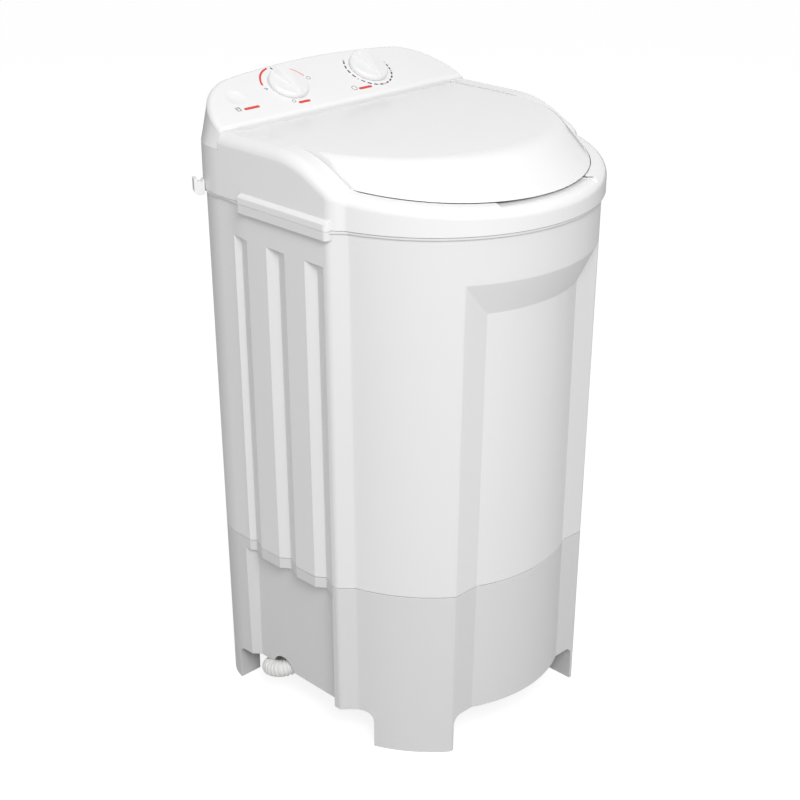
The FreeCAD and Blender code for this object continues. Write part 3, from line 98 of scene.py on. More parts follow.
def length(name, text, millimetres):
    """Length property with its default in millimetres."""
    return bpy.props.FloatProperty(
        name=name, description=text, unit="LENGTH", default=millimetres * MM
    )


class WasherColours(bpy.types.PropertyGroup):
    """Colours of the mouldings, prints and mechanism."""

    cabinet: colour("Cabinet", "Satin white of the body shell", 0.80, 0.80, 0.80)
    base: colour("Base", "Slightly greyer white of the lower skirt", 0.70, 0.70, 0.70)
    cover: colour("Cover", "Glossy white of lid, top cover and panel", 0.86, 0.86, 0.86)
    tub: colour("Tub", "White of tub and pulsator", 0.78, 0.79, 0.79)
    knob: colour("Knob", "White of the knobs", 0.84, 0.84, 0.84)
    hose: colour("Hose", "White of the ribbed hose", 0.80, 0.80, 0.78)
    red: colour("Red print", "Red of the pills and the thick arc", 0.72, 0.035, 0.03)
    rose: colour("Rose print", "Pale red of the thin arc and marks", 0.78, 0.22, 0.20)
    navy: colour("Navy print", "Dark blue of the timer's dashes", 0.012, 0.018, 0.05)
    grey: colour("Grey print", "Grey of the small pictograms", 0.16, 0.16, 0.17)


class WasherSizes(bpy.types.PropertyGroup):
    """Sizes of the soft edges and of the prints."""

    fine_round: length("Fine round", "Soft edge of seams and cut-outs", 0.6)
    knob_round: length("Knob round", "Soft edge of the knobs", 0.6)
    print_height: length("Print height", "How far a print stands off the panel", 0.12)
    selector_ring: length("Selector ring", "Radius of the selector's printed arcs", 40.5)
    timer_ring: length("Timer ring", "Radius of the timer's printed dashes", 37.2)


def sizes():
    """Sizes that the user may have changed."""
    return bpy.context.scene.washer_sizes


def colours():
    """Colours that the user may have changed."""
    return bpy.context.scene.washer_colours


# Node groups shared by the materials
GRAIN_SHARE = 0.35
CLOUD_LOW, CLOUD_HIGH = 0.3, 0.7
LINE_SQUEEZE = (0.03, 0.03, 1.0)
RELIEF_STRENGTH = 0.35

# Colour sockets of the mix node: first, second and result
MIX_FIRST, MIX_SECOND, MIX_RESULT = 6, 7, 2


def new_group(name, inputs, outputs):
    """Shader node group with named float or colour sockets."""
    group = bpy.data.node_groups.new(name, "ShaderNodeTree")
    for label, kind, default in inputs:
        socket = group.interface.new_socket(label, in_out="INPUT", socket_type=kind)
        socket.default_value = default
    for label, kind in outputs:
        group.interface.new_socket(label, in_out="OUTPUT", socket_type=kind)
    return group, group.nodes.new("NodeGroupInput"), group.nodes.new("NodeGroupOutput")


def grey(level):
    """Opaque grey of one level."""
    return (level, level, level, 1)


def add_node(tree, kind, **settings):
    """Node with plain settings; a key that is an input's name sets that input."""
    node = tree.nodes.new(kind)
    for key, setting in settings.items():
        if key in node.inputs:
            node.inputs[key].default_value = setting
        else:
            setattr(node, key, setting)
    return node


def moulded_grain_group():
    """Fine eroded grain of a mould, as a height that changes over the surface."""
    group, inputs, outputs = new_group(
        "moulded_grain",
        [("Grain Scale", "NodeSocketFloat", 900.0), ("Flow Scale", "NodeSocketFloat", 9.0)],
        [("Height", "NodeSocketFloat")],
    )
    place = group.nodes.new("ShaderNodeTexCoord")
    grain = add_node(group, "ShaderNodeTexNoise", Detail=3.0, Roughness=0.55)
    flow = add_node(group, "ShaderNodeTexNoise", Detail=1.0, Roughness=0.4)
    mix = add_node(group, "ShaderNodeMath", operation="MULTIPLY_ADD")
    mix.inputs[1].default_value = GRAIN_SHARE
    link = group.links.new
    link(place.outputs["Object"], grain.inputs["Vector"])
    link(place.outputs["Object"], flow.inputs["Vector"])
    link(inputs.outputs["Grain Scale"], grain.inputs["Scale"])
    link(inputs.outputs["Flow Scale"], flow.inputs["Scale"])
    link(grain.outputs["Fac"], mix.inputs[0])
    link(flow.outputs["Fac"], mix.inputs[2])
    link(mix.outputs["Value"], outputs.inputs["Height"])
    return group


def handled_gloss_group():
    """Roughness that varies softly between two values, as on plastic that hands have polished."""
    group, inputs, outputs = new_group(
        "handled_gloss",
        [("Polished", "NodeSocketFloat", 0.2), ("Dull", "NodeSocketFloat", 0.35),
         ("Scale", "NodeSocketFloat", 6.0)],
        [("Roughness", "NodeSocketFloat")],
    )
    place = group.nodes.new("ShaderNodeTexCoord")
    cloud = add_node(group, "ShaderNodeTexNoise", Detail=4.0, Roughness=0.6)
    spread = add_node(
        group, "ShaderNodeMapRange", **{"From Min": CLOUD_LOW, "From Max": CLOUD_HIGH}
    )
    link = group.links.new
    link(place.outputs["Object"], cloud.inputs["Vector"])
    link(inputs.outputs["Scale"], cloud.inputs["Scale"])
    link(cloud.outputs["Fac"], spread.inputs["Value"])
    link(inputs.outputs["Polished"], spread.inputs["To Min"])
    link(inputs.outputs["Dull"], spread.inputs["To Max"])
    link(spread.outputs["Result"], outputs.inputs["Roughness"])
    return group


def batch_tint_group():
    """Base colour with the faint uneven tint of moulded or cast stock."""
    group, inputs, outputs = new_group(
        "batch_tint",
        [("Colour", "NodeSocketColor", grey(0.8)), ("Tint", "NodeSocketColor", grey(0.7)),
         ("Scale", "NodeSocketFloat", 3.0)],
        [("Colour", "NodeSocketColor")],
    )
    place = group.nodes.new("ShaderNodeTexCoord")
    cloud = add_node(group, "ShaderNodeTexNoise", Detail=3.0, Roughness=0.5)
    mix = add_node(group, "ShaderNodeMix", data_type="RGBA")
    link = group.links.new
    link(place.outputs["Object"], cloud.inputs["Vector"])
    link(inputs.outputs["Scale"], cloud.inputs["Scale"])
    link(cloud.outputs["Fac"], mix.inputs["Factor"])
    link(inputs.outputs["Colour"], mix.inputs[MIX_FIRST])
    link(inputs.outputs["Tint"], mix.inputs[MIX_SECOND])
    link(mix.outputs[MIX_RESULT], outputs.inputs["Colour"])
    return group


def turned_lines_group():
    """Fine rings about an upright axis, as a tool leaves on turned or drawn metal."""
    group, inputs, outputs = new_group(
        "turned_lines", [("Scale", "NodeSocketFloat", 700.0)], [("Height", "NodeSocketFloat")]
    )
    place = group.nodes.new("ShaderNodeTexCoord")
    squeeze = add_node(group, "ShaderNodeMapping", Scale=LINE_SQUEEZE)
    lines = add_node(group, "ShaderNodeTexNoise", Detail=2.0, Roughness=0.6)
    link = group.links.new
    link(place.outputs["Object"], squeeze.inputs["Vector"])
    link(squeeze.outputs["Vector"], lines.inputs["Vector"])
    link(inputs.outputs["Scale"], lines.inputs["Scale"])
    link(lines.outputs["Fac"], outputs.inputs["Height"])
    return group


GROUP_MAKERS = {
    "moulded_grain": moulded_grain_group,
    "handled_gloss": handled_gloss_group,
    "batch_tint": batch_tint_group,
    "turned_lines": turned_lines_group,
}


def place_group(tree, name, **values):
    """Put a shared group into a material with its own values."""
    node = tree.nodes.new("ShaderNodeGroup")
    node.node_tree = bpy.data.node_groups.get(name) or GROUP_MAKERS[name]()
    for label, number in values.items():
        node.inputs[label.replace("_", " ")].default_value = number
    return node


# Depth of the fine relief of each kind of surface, in metres
GLOSSY_DEPTH = 0.000008
INK_DEPTH = 0.000004
MOULD_DEPTH = 0.00002
METAL_DEPTH = 0.00003
RUBBER_DEPTH = 0.00006


def finish_material(name, shade, polished, dull, relief="moulded_grain", relief_scale=900.0,
                    relief_depth=MOULD_DEPTH, tint=0.96, metallic=0.0):
    """Material of one finish: tinted colour, varying gloss and a fine relief."""
    material = bpy.data.materials.get(name)
    if material:
        return material
    material = bpy.data.materials.new(name)
    material.use_nodes = True
    tree = material.node_tree
    shader = tree.nodes["Principled BSDF"]
    shader.inputs["Metallic"].default_value = metallic
    stained = tuple(channel * tint for channel in shade[:3]) + (1,)
    tinting = place_group(tree, "batch_tint", Colour=tuple(shade), Tint=stained)
    gloss = place_group(tree, "handled_gloss", Polished=polished, Dull=dull)
    key = "Grain_Scale" if relief == "moulded_grain" else "Scale"
    height = place_group(tree, relief, **{key: relief_scale})
    bump = add_node(tree, "ShaderNodeBump", Strength=RELIEF_STRENGTH, Distance=relief_depth)
    link = tree.links.new
    link(tinting.outputs["Colour"], shader.inputs["Base Color"])
    link(gloss.outputs["Roughness"], shader.inputs["Roughness"])
    link(height.outputs["Height"], bump.inputs["Height"])
    link(bump.outputs["Normal"], shader.inputs["Normal"])
    return material


def finishes():
    """Materials by the record's slot names."""
    own = colours()
    metal = {
        "metallic": 1.0,
        "relief": "turned_lines",
        "relief_scale": 700.0,
        "relief_depth": METAL_DEPTH,
    }
    return {
        "white_base": finish_material("satin_base", own.base, 0.42, 0.55),
        "white_cabinet": finish_material("satin_cabinet", own.cabinet, 0.36, 0.46),
        "white_tub": finish_material("smooth_tub", own.tub, 0.22, 0.34, relief_scale=300.0),
        "white_cover": finish_material(
            "glossy_cover", own.cover, 0.14, 0.22, relief_scale=120.0, relief_depth=GLOSSY_DEPTH
        ),
        "white_knob": finish_material(
            "glossy_knob", own.knob, 0.18, 0.26, relief_depth=GLOSSY_DEPTH
        ),
        "white_hose": finish_material("waxy_hose", own.hose, 0.34, 0.48, relief_scale=400.0),
        "steel": finish_material("ground_steel", (0.60, 0.60, 0.61, 1), 0.22, 0.34, **metal),
        "zinc_steel": finish_material("zinc_plate", (0.66, 0.68, 0.70, 1), 0.30, 0.46, **metal),
        "dark_plastic": finish_material(
            "filled_nylon", (0.035, 0.035, 0.04, 1), 0.45, 0.62, tint=1.3
        ),
        "bronze": finish_material("sintered_bronze", (0.55, 0.36, 0.16, 1), 0.34, 0.5, **metal),
        "black_rubber": finish_material(
            "matt_rubber", grey(0.018), 0.62, 0.8, tint=1.4, relief_depth=RUBBER_DEPTH
        ),
        "cast_alloy": finish_material("cast_alloy", (0.62, 0.63, 0.64, 1), 0.32, 0.5, **metal),
        "motor_paint": finish_material(
            "motor_enamel", (0.045, 0.05, 0.055, 1), 0.28, 0.4, tint=1.2
        ),
    }


def dress(thing, material):
    """Give an object one material."""
    thing.data.materials.clear()
    thing.data.materials.append(material)


# Edit-mode helpers
def only(thing):
    """Select one object alone and make it active."""
    bpy.ops.object.select_all(action="DESELECT")
    thing.select_set(True)
    bpy.context.view_layer.objects.active = thing


def edit(thing):
    """Enter edit mode on one object with everything selected."""
    only(thing)
    bpy.ops.object.mode_set(mode="EDIT")
    bpy.ops.mesh.select_all(action="SELECT")


def leave():
    """Back to object mode."""
    bpy.ops.object.mode_set(mode="OBJECT")


def apply_modifier(thing, kind, **settings):
    """Add a modifier with its settings and apply it."""
    only(thing)
    modifier = thing.modifiers.new(kind.lower(), kind)
    for key, setting in settings.items():
        setattr(modifier, key, setting)
    bpy.ops.object.modifier_apply(modifier=modifier.name)


def keep_faces(thing, wanted):
    """Delete the faces whose centre a test doesn't want."""
    leave_out = [not wanted(face.center) for face in thing.data.polygons]
    edit(thing)
    bpy.ops.mesh.select_mode(type="FACE")
    bpy.ops.mesh.select_all(action="DESELECT")
    leave()
    thing.data.polygons.foreach_set("select", leave_out)
    bpy.ops.object.mode_set(mode="EDIT")
    bpy.ops.mesh.delete(type="FACE")
    leave()


def settle(thing, matrix=None):
    """Put an object's place into its mesh."""
    if matrix is not None:
        thing.data.transform(matrix)
    only(thing)
    bpy.ops.object.transform_apply(location=True, rotation=True, scale=True)
    return thing


def attach(thing, body, nodes=()):
    """Ride a body and stand for CAD nodes."""
    if nodes:
        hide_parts(*nodes)
    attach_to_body(thing, body)


# Soft-edged copies of the moulded shells
MERGE_DISTANCE = 0.00001
FLAT_ANGLE = math.radians(0.6)

# Rounded edges: least length, least angle, least face width as a multiple of the round, and steps
SHORT_EDGE = 1 * MM
SHARP_ANGLE = math.radians(45)
ROOM = 2.5
EDGE_STEPS = 2


def merged_copy(node_name):
    """Copy of a CAD node with its triangles merged into clean faces."""
    node = frame["nodes"][node_name]
    copy = bpy.data.objects.new(f"soft_{node_name}", node.data.copy())
    bpy.context.collection.objects.link(copy)
    edit(copy)
    bpy.ops.mesh.remove_doubles(threshold=MERGE_DISTANCE)
    bpy.ops.mesh.dissolve_limited(angle_limit=FLAT_ANGLE)
    leave()
    return copy


def edge_corners(mesh):
    """Length of each edge, the angle between its two faces and the width of the narrower one."""
    faces_of = {}
    for face in mesh.polygons:
        for key in face.edge_keys:
            faces_of.setdefault(key, []).append(face)
    corners = []
    for edge in mesh.edges:
        faces = faces_of.get(edge.key, [])
        first, last = (mesh.vertices[index].co for index in edge.vertices)
        run = (last - first).length
        if len(faces) != 2 or run == 0:
            corners.append((run, 0.0, 0.0))
            continue
        angle = faces[0].normal.angle(faces[1].normal, 0.0)
        corners.append((run, angle, min(face.area for face in faces) / run))
    return corners


def soften(thing, width, smooth_below):
    """Bevel the sharp edges that have room for it, and keep broad faces flat in the shading."""
    mesh = thing.data
    weights = mesh.attributes.new("bevel_weight_edge", "FLOAT", "EDGE")
    weights.data.foreach_set("value", [
        1.0 if run > SHORT_EDGE and angle > SHARP_ANGLE and room > ROOM * width else 0.0
        for run, angle, room in edge_corners(mesh)
    ])
    apply_modifier(thing, "BEVEL", width=width, segments=EDGE_STEPS, limit_method="WEIGHT",
                   use_clamp_overlap=False)
    only(thing)
    bpy.ops.object.shade_smooth()
    limit = math.radians(smooth_below)
    sharp = [angle > limit for run, angle, room in edge_corners(mesh)]
    mesh.edges.foreach_set("use_edge_sharp", sharp)
    apply_modifier(thing, "WEIGHTED_NORMAL", keep_sharp=True, mode="FACE_AREA_WITH_ANGLE")
    square_corners(thing.data, limit)


def square_corners(mesh, limit):
    """Set shading normals that lean further from their face than a limit square on it again."""
    normals = []
    for face in mesh.polygons:
        for index in face.loop_indices:
            lean = mesh.corner_normals[index].vector.copy()
            normals.append(face.normal.copy() if face.normal.angle(lean, 0.0) > limit else lean)
    mesh.normals_split_custom_set(normals)


def pick_points(thing, wanted):
    """Enter edit mode on one object with the points selected that a test wants."""
    edit(thing)
    bpy.ops.mesh.select_mode(type="VERT")
    bpy.ops.mesh.select_all(action="DESELECT")
    leave()
    thing.data.vertices.foreach_set("select", [wanted(point.co) for point in thing.data.vertices])
    bpy.ops.object.mode_set(mode="EDIT")


# Seams as they close on the moulded pieces
LID_GROW = 1.0025
HINGE_Y = 138 * MM
LIP_GROW = 1.0105
LIP_RADIUS = 215 * MM
LIP_BOTTOM, LIP_TOP = 778 * MM, 782 * MM
LEDGE_SPLIT = 782.4 * MM
LEDGE_INNER = 240 * MM
LEDGE_NEAR = 0.1 * MM
LEDGE_CLOSE = 0.45 * MM


def close_lid(lid):
    """Widen the lid a little from its hinge line, so that its seam is as fine as a moulded one."""
    edit(lid)
    bpy.ops.transform.resize(value=(LID_GROW, LID_GROW, 1), center_override=(0, HINGE_Y, 0))
    leave()


def on_lip(point):
    """True for a point on the outer lip of the tub."""
    out = math.hypot(point.x, point.y - TUB_AXIS_Y * MM)
    return LIP_BOTTOM < point.z < LIP_TOP and out > LIP_RADIUS


def widen_lip(tub):
    """Bring the tub's outer lip forward into the seam between cover and cabinet."""
    pick_points(tub, on_lip)
    bpy.ops.transform.resize(
        value=(LIP_GROW, LIP_GROW, 1), center_override=(0, TUB_AXIS_Y * MM, 0)
    )
    leave()


def close_ledges(cover):
    """Bring the cover's half of both hand ledges down to a fine split line."""
    pick_points(cover, lambda p: abs(p.z - LEDGE_SPLIT) < LEDGE_NEAR and abs(p.x) > LEDGE_INNER)
    bpy.ops.transform.translate(value=(0, 0, -LEDGE_CLOSE))
    leave()


# Foot of the panel, which stands flush with the cover's sides and rear
FOOT_TOP = 845.8 * MM
FOOT_FRONT, FOOT_END = 155 * MM, 235.3 * MM
TURN_X, TURN_Y, TURN_OUTER = 142 * MM, 146.2 * MM, 92.3 * MM
BOW_Y, BOW_OUTER = -1001 * MM, 1248.3 * MM
FOOT_REAR = 247.4 * MM
FOOT_FLATTEN = 0.2
FOOT_OUT, FOOT_BACK, FOOT_DROP = 5.9 * MM, 7.2 * MM, 0.2 * MM


def on_foot(point):
    """True for a point on the outer edge of the panel's foot, behind its front face."""
    if point.z > FOOT_TOP or point.y < FOOT_FRONT:
        return False
    if abs(point.x) < TURN_X:
        return math.hypot(point.x, point.y - BOW_Y) > BOW_OUTER
    return math.hypot(abs(point.x) - TURN_X, point.y - TURN_Y) > TURN_OUTER


def seat_panel(panel):
    """Bring the panel's foot out until it is flush with the cover's sides and rear."""
    pick_points(panel, lambda p: on_foot(p) and abs(p.x) < TURN_X)
    bpy.ops.transform.resize(value=(1, FOOT_FLATTEN, 1), center_override=(0, FOOT_REAR, 0))
    bpy.ops.transform.translate(value=(0, 0, -FOOT_DROP))
    leave()
    for side in (-1, 1):
        pick_points(panel, lambda p: on_foot(p) and side * p.x >= TURN_X)
        bpy.ops.transform.translate(value=(side * FOOT_OUT, FOOT_BACK, -FOOT_DROP))
        leave()
        pick_points(panel, lambda p: p.z < FOOT_TOP and p.y < FOOT_FRONT and side * p.x > FOOT_END)
        bpy.ops.transform.translate(value=(side * FOOT_OUT, 0, -FOOT_DROP))
        leave()


FITTED = {
    "lid": close_lid,
    "wash_tub": widen_lip,
    "top_cover": close_ledges,
    "control_panel": seat_panel,
}

# Angle in degrees below which the faces of a shell shade as one
SMOOTH_BELOW = {"base": 18.0, "cabinet": 18.0, "control_panel": 14.0}
SMOOTH_OTHERS = 32.0


class WASHER_OT_shells(bpy.types.Operator):
    """Soft-edged base, cabinet, tub, top cover, lid, panel, knobs and hook"""

    bl_idname = "washer.shells"
    bl_label = "Moulded shells"

    def execute(self, context):
        """Copy, soften and dress each shell."""
        fine = sizes().fine_round
        looks = finishes()
        shells = {
            "base": (MACHINE, fine),
            "cabinet": (MACHINE, fine),
            "wash_tub": (MACHINE, fine),
            "top_cover": (MACHINE, fine),
            "lid": ("lid", fine),
            "control_panel": (MACHINE, fine),
            "hose_hook": (MACHINE, fine),
            "selector_knob": ("selector", sizes().knob_round),
            "timer_knob": ("timer", sizes().knob_round),
        }
        for name, (body, width) in shells.items():
            shell = merged_copy(name)
            if name in FITTED:
                FITTED[name](shell)
            soften(shell, width, SMOOTH_BELOW.get(name, SMOOTH_OTHERS))
            dress(shell, looks[SLOT_OF[name]])
            attach(shell, body, [name])
        return {"FINISHED"}


class WASHER_OT_mechanism(bpy.types.Operator):
    """Finishes of the drive, the drain and the fasteners"""

    bl_idname = "washer.mechanism"
    bl_label = "Drive and drain"

    def execute(self, context):
        """Dress every CAD node; the shells and the hose then take over theirs."""
        looks = finishes()
        for name, node in frame["nodes"].items():
            dress(node, looks[SLOT_OF[name]])
        return {"FINISHED"}


# Ribbed hose
HOSE_PITCH = 5.6 * MM
HOSE_CREST = 12.5 * MM
HOSE_ROOT = 11.0 * MM
HOSE_BORE = 9.6 * MM
HOSE_CUFF = 25 * MM
HOSE_SIDES = 28
HOSE_SMOOTH = math.radians(50)
LINE_STEPS, LINE_ORDER = 24, 3

# One rib: share of the pitch and radius there
RIB_PROFILE = [
    (0, HOSE_CREST), (0.14, HOSE_ROOT), (0.4, HOSE_ROOT), (0.54, HOSE_CREST), (1, HOSE_CREST)
]


def hose_spline():
    """Smooth line of the hose with the route's points as control points."""
    curve = bpy.data.curves.new("hose_line", "CURVE")
    curve.dimensions = "3D"
    curve.resolution_u = LINE_STEPS
    spline = curve.splines.new("NURBS")
    spline.points.add(len(HOSE_ROUTE) - 1)
    for point, (x, y, z) in zip(spline.points, HOSE_ROUTE):
        point.co = (x * MM, (y + TUB_AXIS_Y) * MM, z * MM, 1)
    spline.order_u = LINE_ORDER
    spline.use_endpoint_u = True
    line = bpy.data.objects.new("hose_line", curve)
    bpy.context.collection.objects.link(line)
    return line


def spline_points(line):
    """Points along the evaluated line."""
    bpy.context.view_layer.update()
    smooth_line = line.evaluated_get(bpy.context.evaluated_depsgraph_get())
    mesh = bpy.data.meshes.new_from_object(smooth_line)
    points = [vertex.co.copy() for vertex in mesh.vertices]
    bpy.data.meshes.remove(mesh)
    return points


def ringed_tube(name, stations):
    """Round tube along X through rings, each given by its place and radius."""
    first_x, first_radius = stations[0]
    bpy.ops.object.select_all(action="DESELECT")
    bpy.ops.mesh.primitive_circle_add(
        vertices=HOSE_SIDES, radius=first_radius, location=(first_x, 0, 0),
        rotation=(0, math.pi / 2, 0),
    )
    tube = settle(bpy.context.object)
    tube.name = name
    edit(tube)
    for (x0, r0), (x1, r1) in zip(stations, stations[1:]):
        bpy.ops.mesh.extrude_edges_move(TRANSFORM_OT_translate={"value": (x1 - x0, 0, 0)})
        if r1 != r0:
            bpy.ops.transform.resize(value=(1, r1 / r0, r1 / r0), center_override=(x1, 0, 0))
    leave()
    return tube


def straight_hose(total):
    """Hose laid straight along X: smooth cuffs, ribs between and the bore's start at both ends."""
    count = round((total - 2 * HOSE_CUFF) / HOSE_PITCH)
    pitch = (total - 2 * HOSE_CUFF) / count
    cuff = ringed_tube("cuff", [
        (2 * HOSE_CUFF, HOSE_BORE), (0, HOSE_BORE), (0, HOSE_CREST), (HOSE_CUFF, HOSE_CREST)
    ])
    rib = ringed_tube("rib", [(HOSE_CUFF + share * pitch, radius) for share, radius in RIB_PROFILE])
    apply_modifier(rib, "ARRAY", count=count, use_relative_offset=False, use_constant_offset=True,
                   constant_offset_displace=(pitch, 0, 0))
    end = ringed_tube("end", [
        (total - HOSE_CUFF, HOSE_CREST), (total, HOSE_CREST), (total, HOSE_BORE),
        (total - 2 * HOSE_CUFF, HOSE_BORE),
    ])
    hose = join("ribbed_hose", [cuff, rib, end])
    edit(hose)
    bpy.ops.mesh.remove_doubles(threshold=MERGE_DISTANCE)
    bpy.ops.mesh.normals_make_consistent(inside=False)
    leave()
    return hose


class WASHER_OT_hose(bpy.types.Operator):
    """Ribbed drain hose on its smooth line"""

    bl_idname = "washer.hose"
    bl_label = "Drain hose"

    def execute(self, context):
        """Bend a straight ribbed hose along the line."""
        line = hose_spline()
        points = spline_points(line)
        total = sum((after - before).length for before, after in zip(points, points[1:]))
        hose = straight_hose(total)
        apply_modifier(hose, "CURVE", object=line, deform_axis="POS_X")
        bpy.data.objects.remove(line)
        only(hose)
        bpy.ops.object.shade_smooth_by_angle(angle=HOSE_SMOOTH)
        dress(hose, finishes()["white_hose"])
        attach(hose, MACHINE, ["drain_hose"])
        return {"FINISHED"}


# Prints on the sloped panel: bearings in degrees clockwise from up
WARM_ARC, WARM_WIDTH = (-77, -12), 3.0 * MM
PALE_ARC, PALE_WIDTH = (38, 74), 1.6 * MM
TIMER_GROUPS = [(-52, -110), (-124, -180), (170, 118), (109, 66)]
TIMER_MARKS = [-48, -117, 176, 113.5, 61]
DASHES_PER_GROUP = 4
DASH_SHARE = 0.62
DASH_WIDTH = 2.4 * MM
MARK_WIDTH, MARK_OUT, MARK_HALF = 3.2 * MM, 0.6 * MM, 1.6
ARC_STEPS, DASH_STEPS, RING_STEPS = 360, 720, 32

# Selector's axis along and up the panel
DIAL_ACROSS = JOINTS["selector_turn"]["pos_m"][0]
DIAL_UP = 53 * MM

# Legend pills in millimetres: left and right ends along the panel, and place up it
PILLS = [(-174, -147, 25), (-83, -62, 15.5), (33, 58, 16.5)]
PILL_HEIGHT = 4.6 * MM
PILL_STEPS = 6
PILL_ROUND, BAR_ROUND = 0.5, 0.3
ROUND_LIMIT = 0.98


def round_dial(angle, radius):
    """Place along and up the panel, in millimetres, at a bearing and distance from the selector."""
    turn = math.radians(angle)
    return DIAL_ACROSS / MM + radius * math.sin(turn), DIAL_UP / MM + radius * math.cos(turn)


# Pictograms in millimetres: origin, rings with radius and width, bars with width and height
PANEL_ORIGIN = (0, 0)
PICTOGRAMS = {
    "clock": (
        PANEL_ORIGIN, [(26.5, 20, 4.2, 0.9)], [(26.5, 21.5, 0.9, 3.6), (27.8, 20, 2.8, 0.9)]
    ),
    "dial": (
        PANEL_ORIGIN, [(-88, 20.5, 2.6, 0.9)], [(-88, 15.6, 5.4, 1.0), (-88, 24.4, 1.0, 2.6)]
    ),
    "tub": (PANEL_ORIGIN, [], [
        (-185.5, 27.5, 1.0, 7.4), (-179.5, 27.5, 1.0, 7.4), (-182.5, 24.2, 6.6, 1.0),
        (-182.5, 28.4, 4.2, 0.9), (-182.5, 30.6, 4.2, 0.9),
    ]),
    "still": (round_dial(-2, 38), [], [(0, 0, 1.6, 4.6), (0, 0, 4.2, 1.2)]),
    "wave": (round_dial(-88, 39), [], [
        (-1.4, 1.2, 3.4, 1.1), (1.4, -0.2, 3.4, 1.1), (-0.4, -1.8, 3.4, 1.1)
    ]),
    "drop": (round_dial(83, 43), [(0, 0, 3.0, 0.7)], []),
}


def panel_frame(joint_name):
    """Matrix that lays a flat print on the panel: origin on a dial's axis, Y up the slope."""
    joint = JOINTS[joint_name]
    normal = Vector(joint["axis"]).normalized()
    across = Vector((1, 0, 0))
    up = normal.cross(across)
    turn = Matrix((across, up, normal)).transposed().to_4x4()
    return Matrix.Translation(Vector(joint["pos_m"])) @ turn


def bearing(place):
    """Angle clockwise from up, in degrees, of a point on a flat print."""
    return math.degrees(math.atan2(place.x, place.y))


def flat_ring(name, radius, width, wanted, steps=ARC_STEPS):
    """Flat ring about the origin with only the stretches that a test on the bearing wants."""
    bpy.ops.object.select_all(action="DESELECT")
    bpy.ops.mesh.primitive_circle_add(vertices=steps, radius=radius - width / 2)
    ring = bpy.context.object
    ring.name = name
    edit(ring)
    bpy.ops.mesh.extrude_edges_move()
    share = (radius + width / 2) / (radius - width / 2)
    bpy.ops.transform.resize(value=(share, share, 1), center_override=(0, 0, 0))
    leave()
    keep_faces(ring, lambda centre: wanted(bearing(centre)))
    return ring


def flat_pill(name, left, right, up, height, corner=PILL_ROUND):
    """Flat rectangle with round corners between two places along the panel."""
    bpy.ops.object.select_all(action="DESELECT")
    bpy.ops.mesh.primitive_plane_add(size=1, location=((left + right) / 2, up, 0))
    pill = bpy.context.object
    pill.name = name
    pill.scale = (right - left, height, 1)
    settle(pill)
    edit(pill)
    bpy.ops.mesh.bevel(
        offset=height * corner * ROUND_LIMIT, segments=PILL_STEPS, affect="VERTICES"
    )
    leave()
    return pill


def print_on(thing, matrix, material, name):
    """Give a flat print its thickness, put it on the panel and ink it."""
    edit(thing)
    bpy.ops.mesh.normals_make_consistent(inside=False)
    leave()
    if thing.data.polygons[0].normal.z < 0:
        edit(thing)
        bpy.ops.mesh.flip_normals()
        leave()
    apply_modifier(thing, "SOLIDIFY", thickness=sizes().print_height, offset=1.0)
    settle(thing, matrix)
    thing.name = name
    dress(thing, material)
    attach(thing, MACHINE)


def join(name, pieces):
    """Join pieces into one object."""
    if len(pieces) > 1:
        only(pieces[0])
        for piece in pieces:
            piece.select_set(True)
        bpy.ops.object.join()
    pieces[0].name = name
    return pieces[0]


def within(angle, start, end):
    """True if a bearing lies between two bearings, clockwise."""
    return (angle - start) % 360 <= (end - start) % 360


def ink(name, shade):
    """Screen-printed ink."""
    return finish_material(f"ink_{name}", shade, 0.32, 0.42, tint=0.9, relief_depth=INK_DEPTH)


def timer_dash(angle):
    """True where the timer's ring has one of its dark dashes."""
    for start, end in TIMER_GROUPS:
        sweep = (start - end) % 360
        along = (start - angle) % 360
        if along <= sweep:
            return (along / sweep * (DASHES_PER_GROUP - 1 + DASH_SHARE)) % 1 <= DASH_SHARE
    return False


def timer_mark(angle):
    """True where the timer's ring has one of its pale marks."""
    return any(within(angle, mark - MARK_HALF, mark + MARK_HALF) for mark in TIMER_MARKS)


def small_ring(x, up, radius, width):
    """Flat ring at a place on the panel, all in millimetres."""
    piece = flat_ring("ring", radius * MM, width * MM, lambda angle: True, RING_STEPS)
    return settle(piece, Matrix.Translation((x * MM - DIAL_ACROSS, up * MM - DIAL_UP, 0)))


def small_bar(x, up, wide, high):
    """Flat bar about a place on the panel, all in millimetres."""
    left, right = (x - wide / 2) * MM - DIAL_ACROSS, (x + wide / 2) * MM - DIAL_ACROSS
    return flat_pill("bar", left, right, up * MM - DIAL_UP, high * MM, BAR_ROUND)


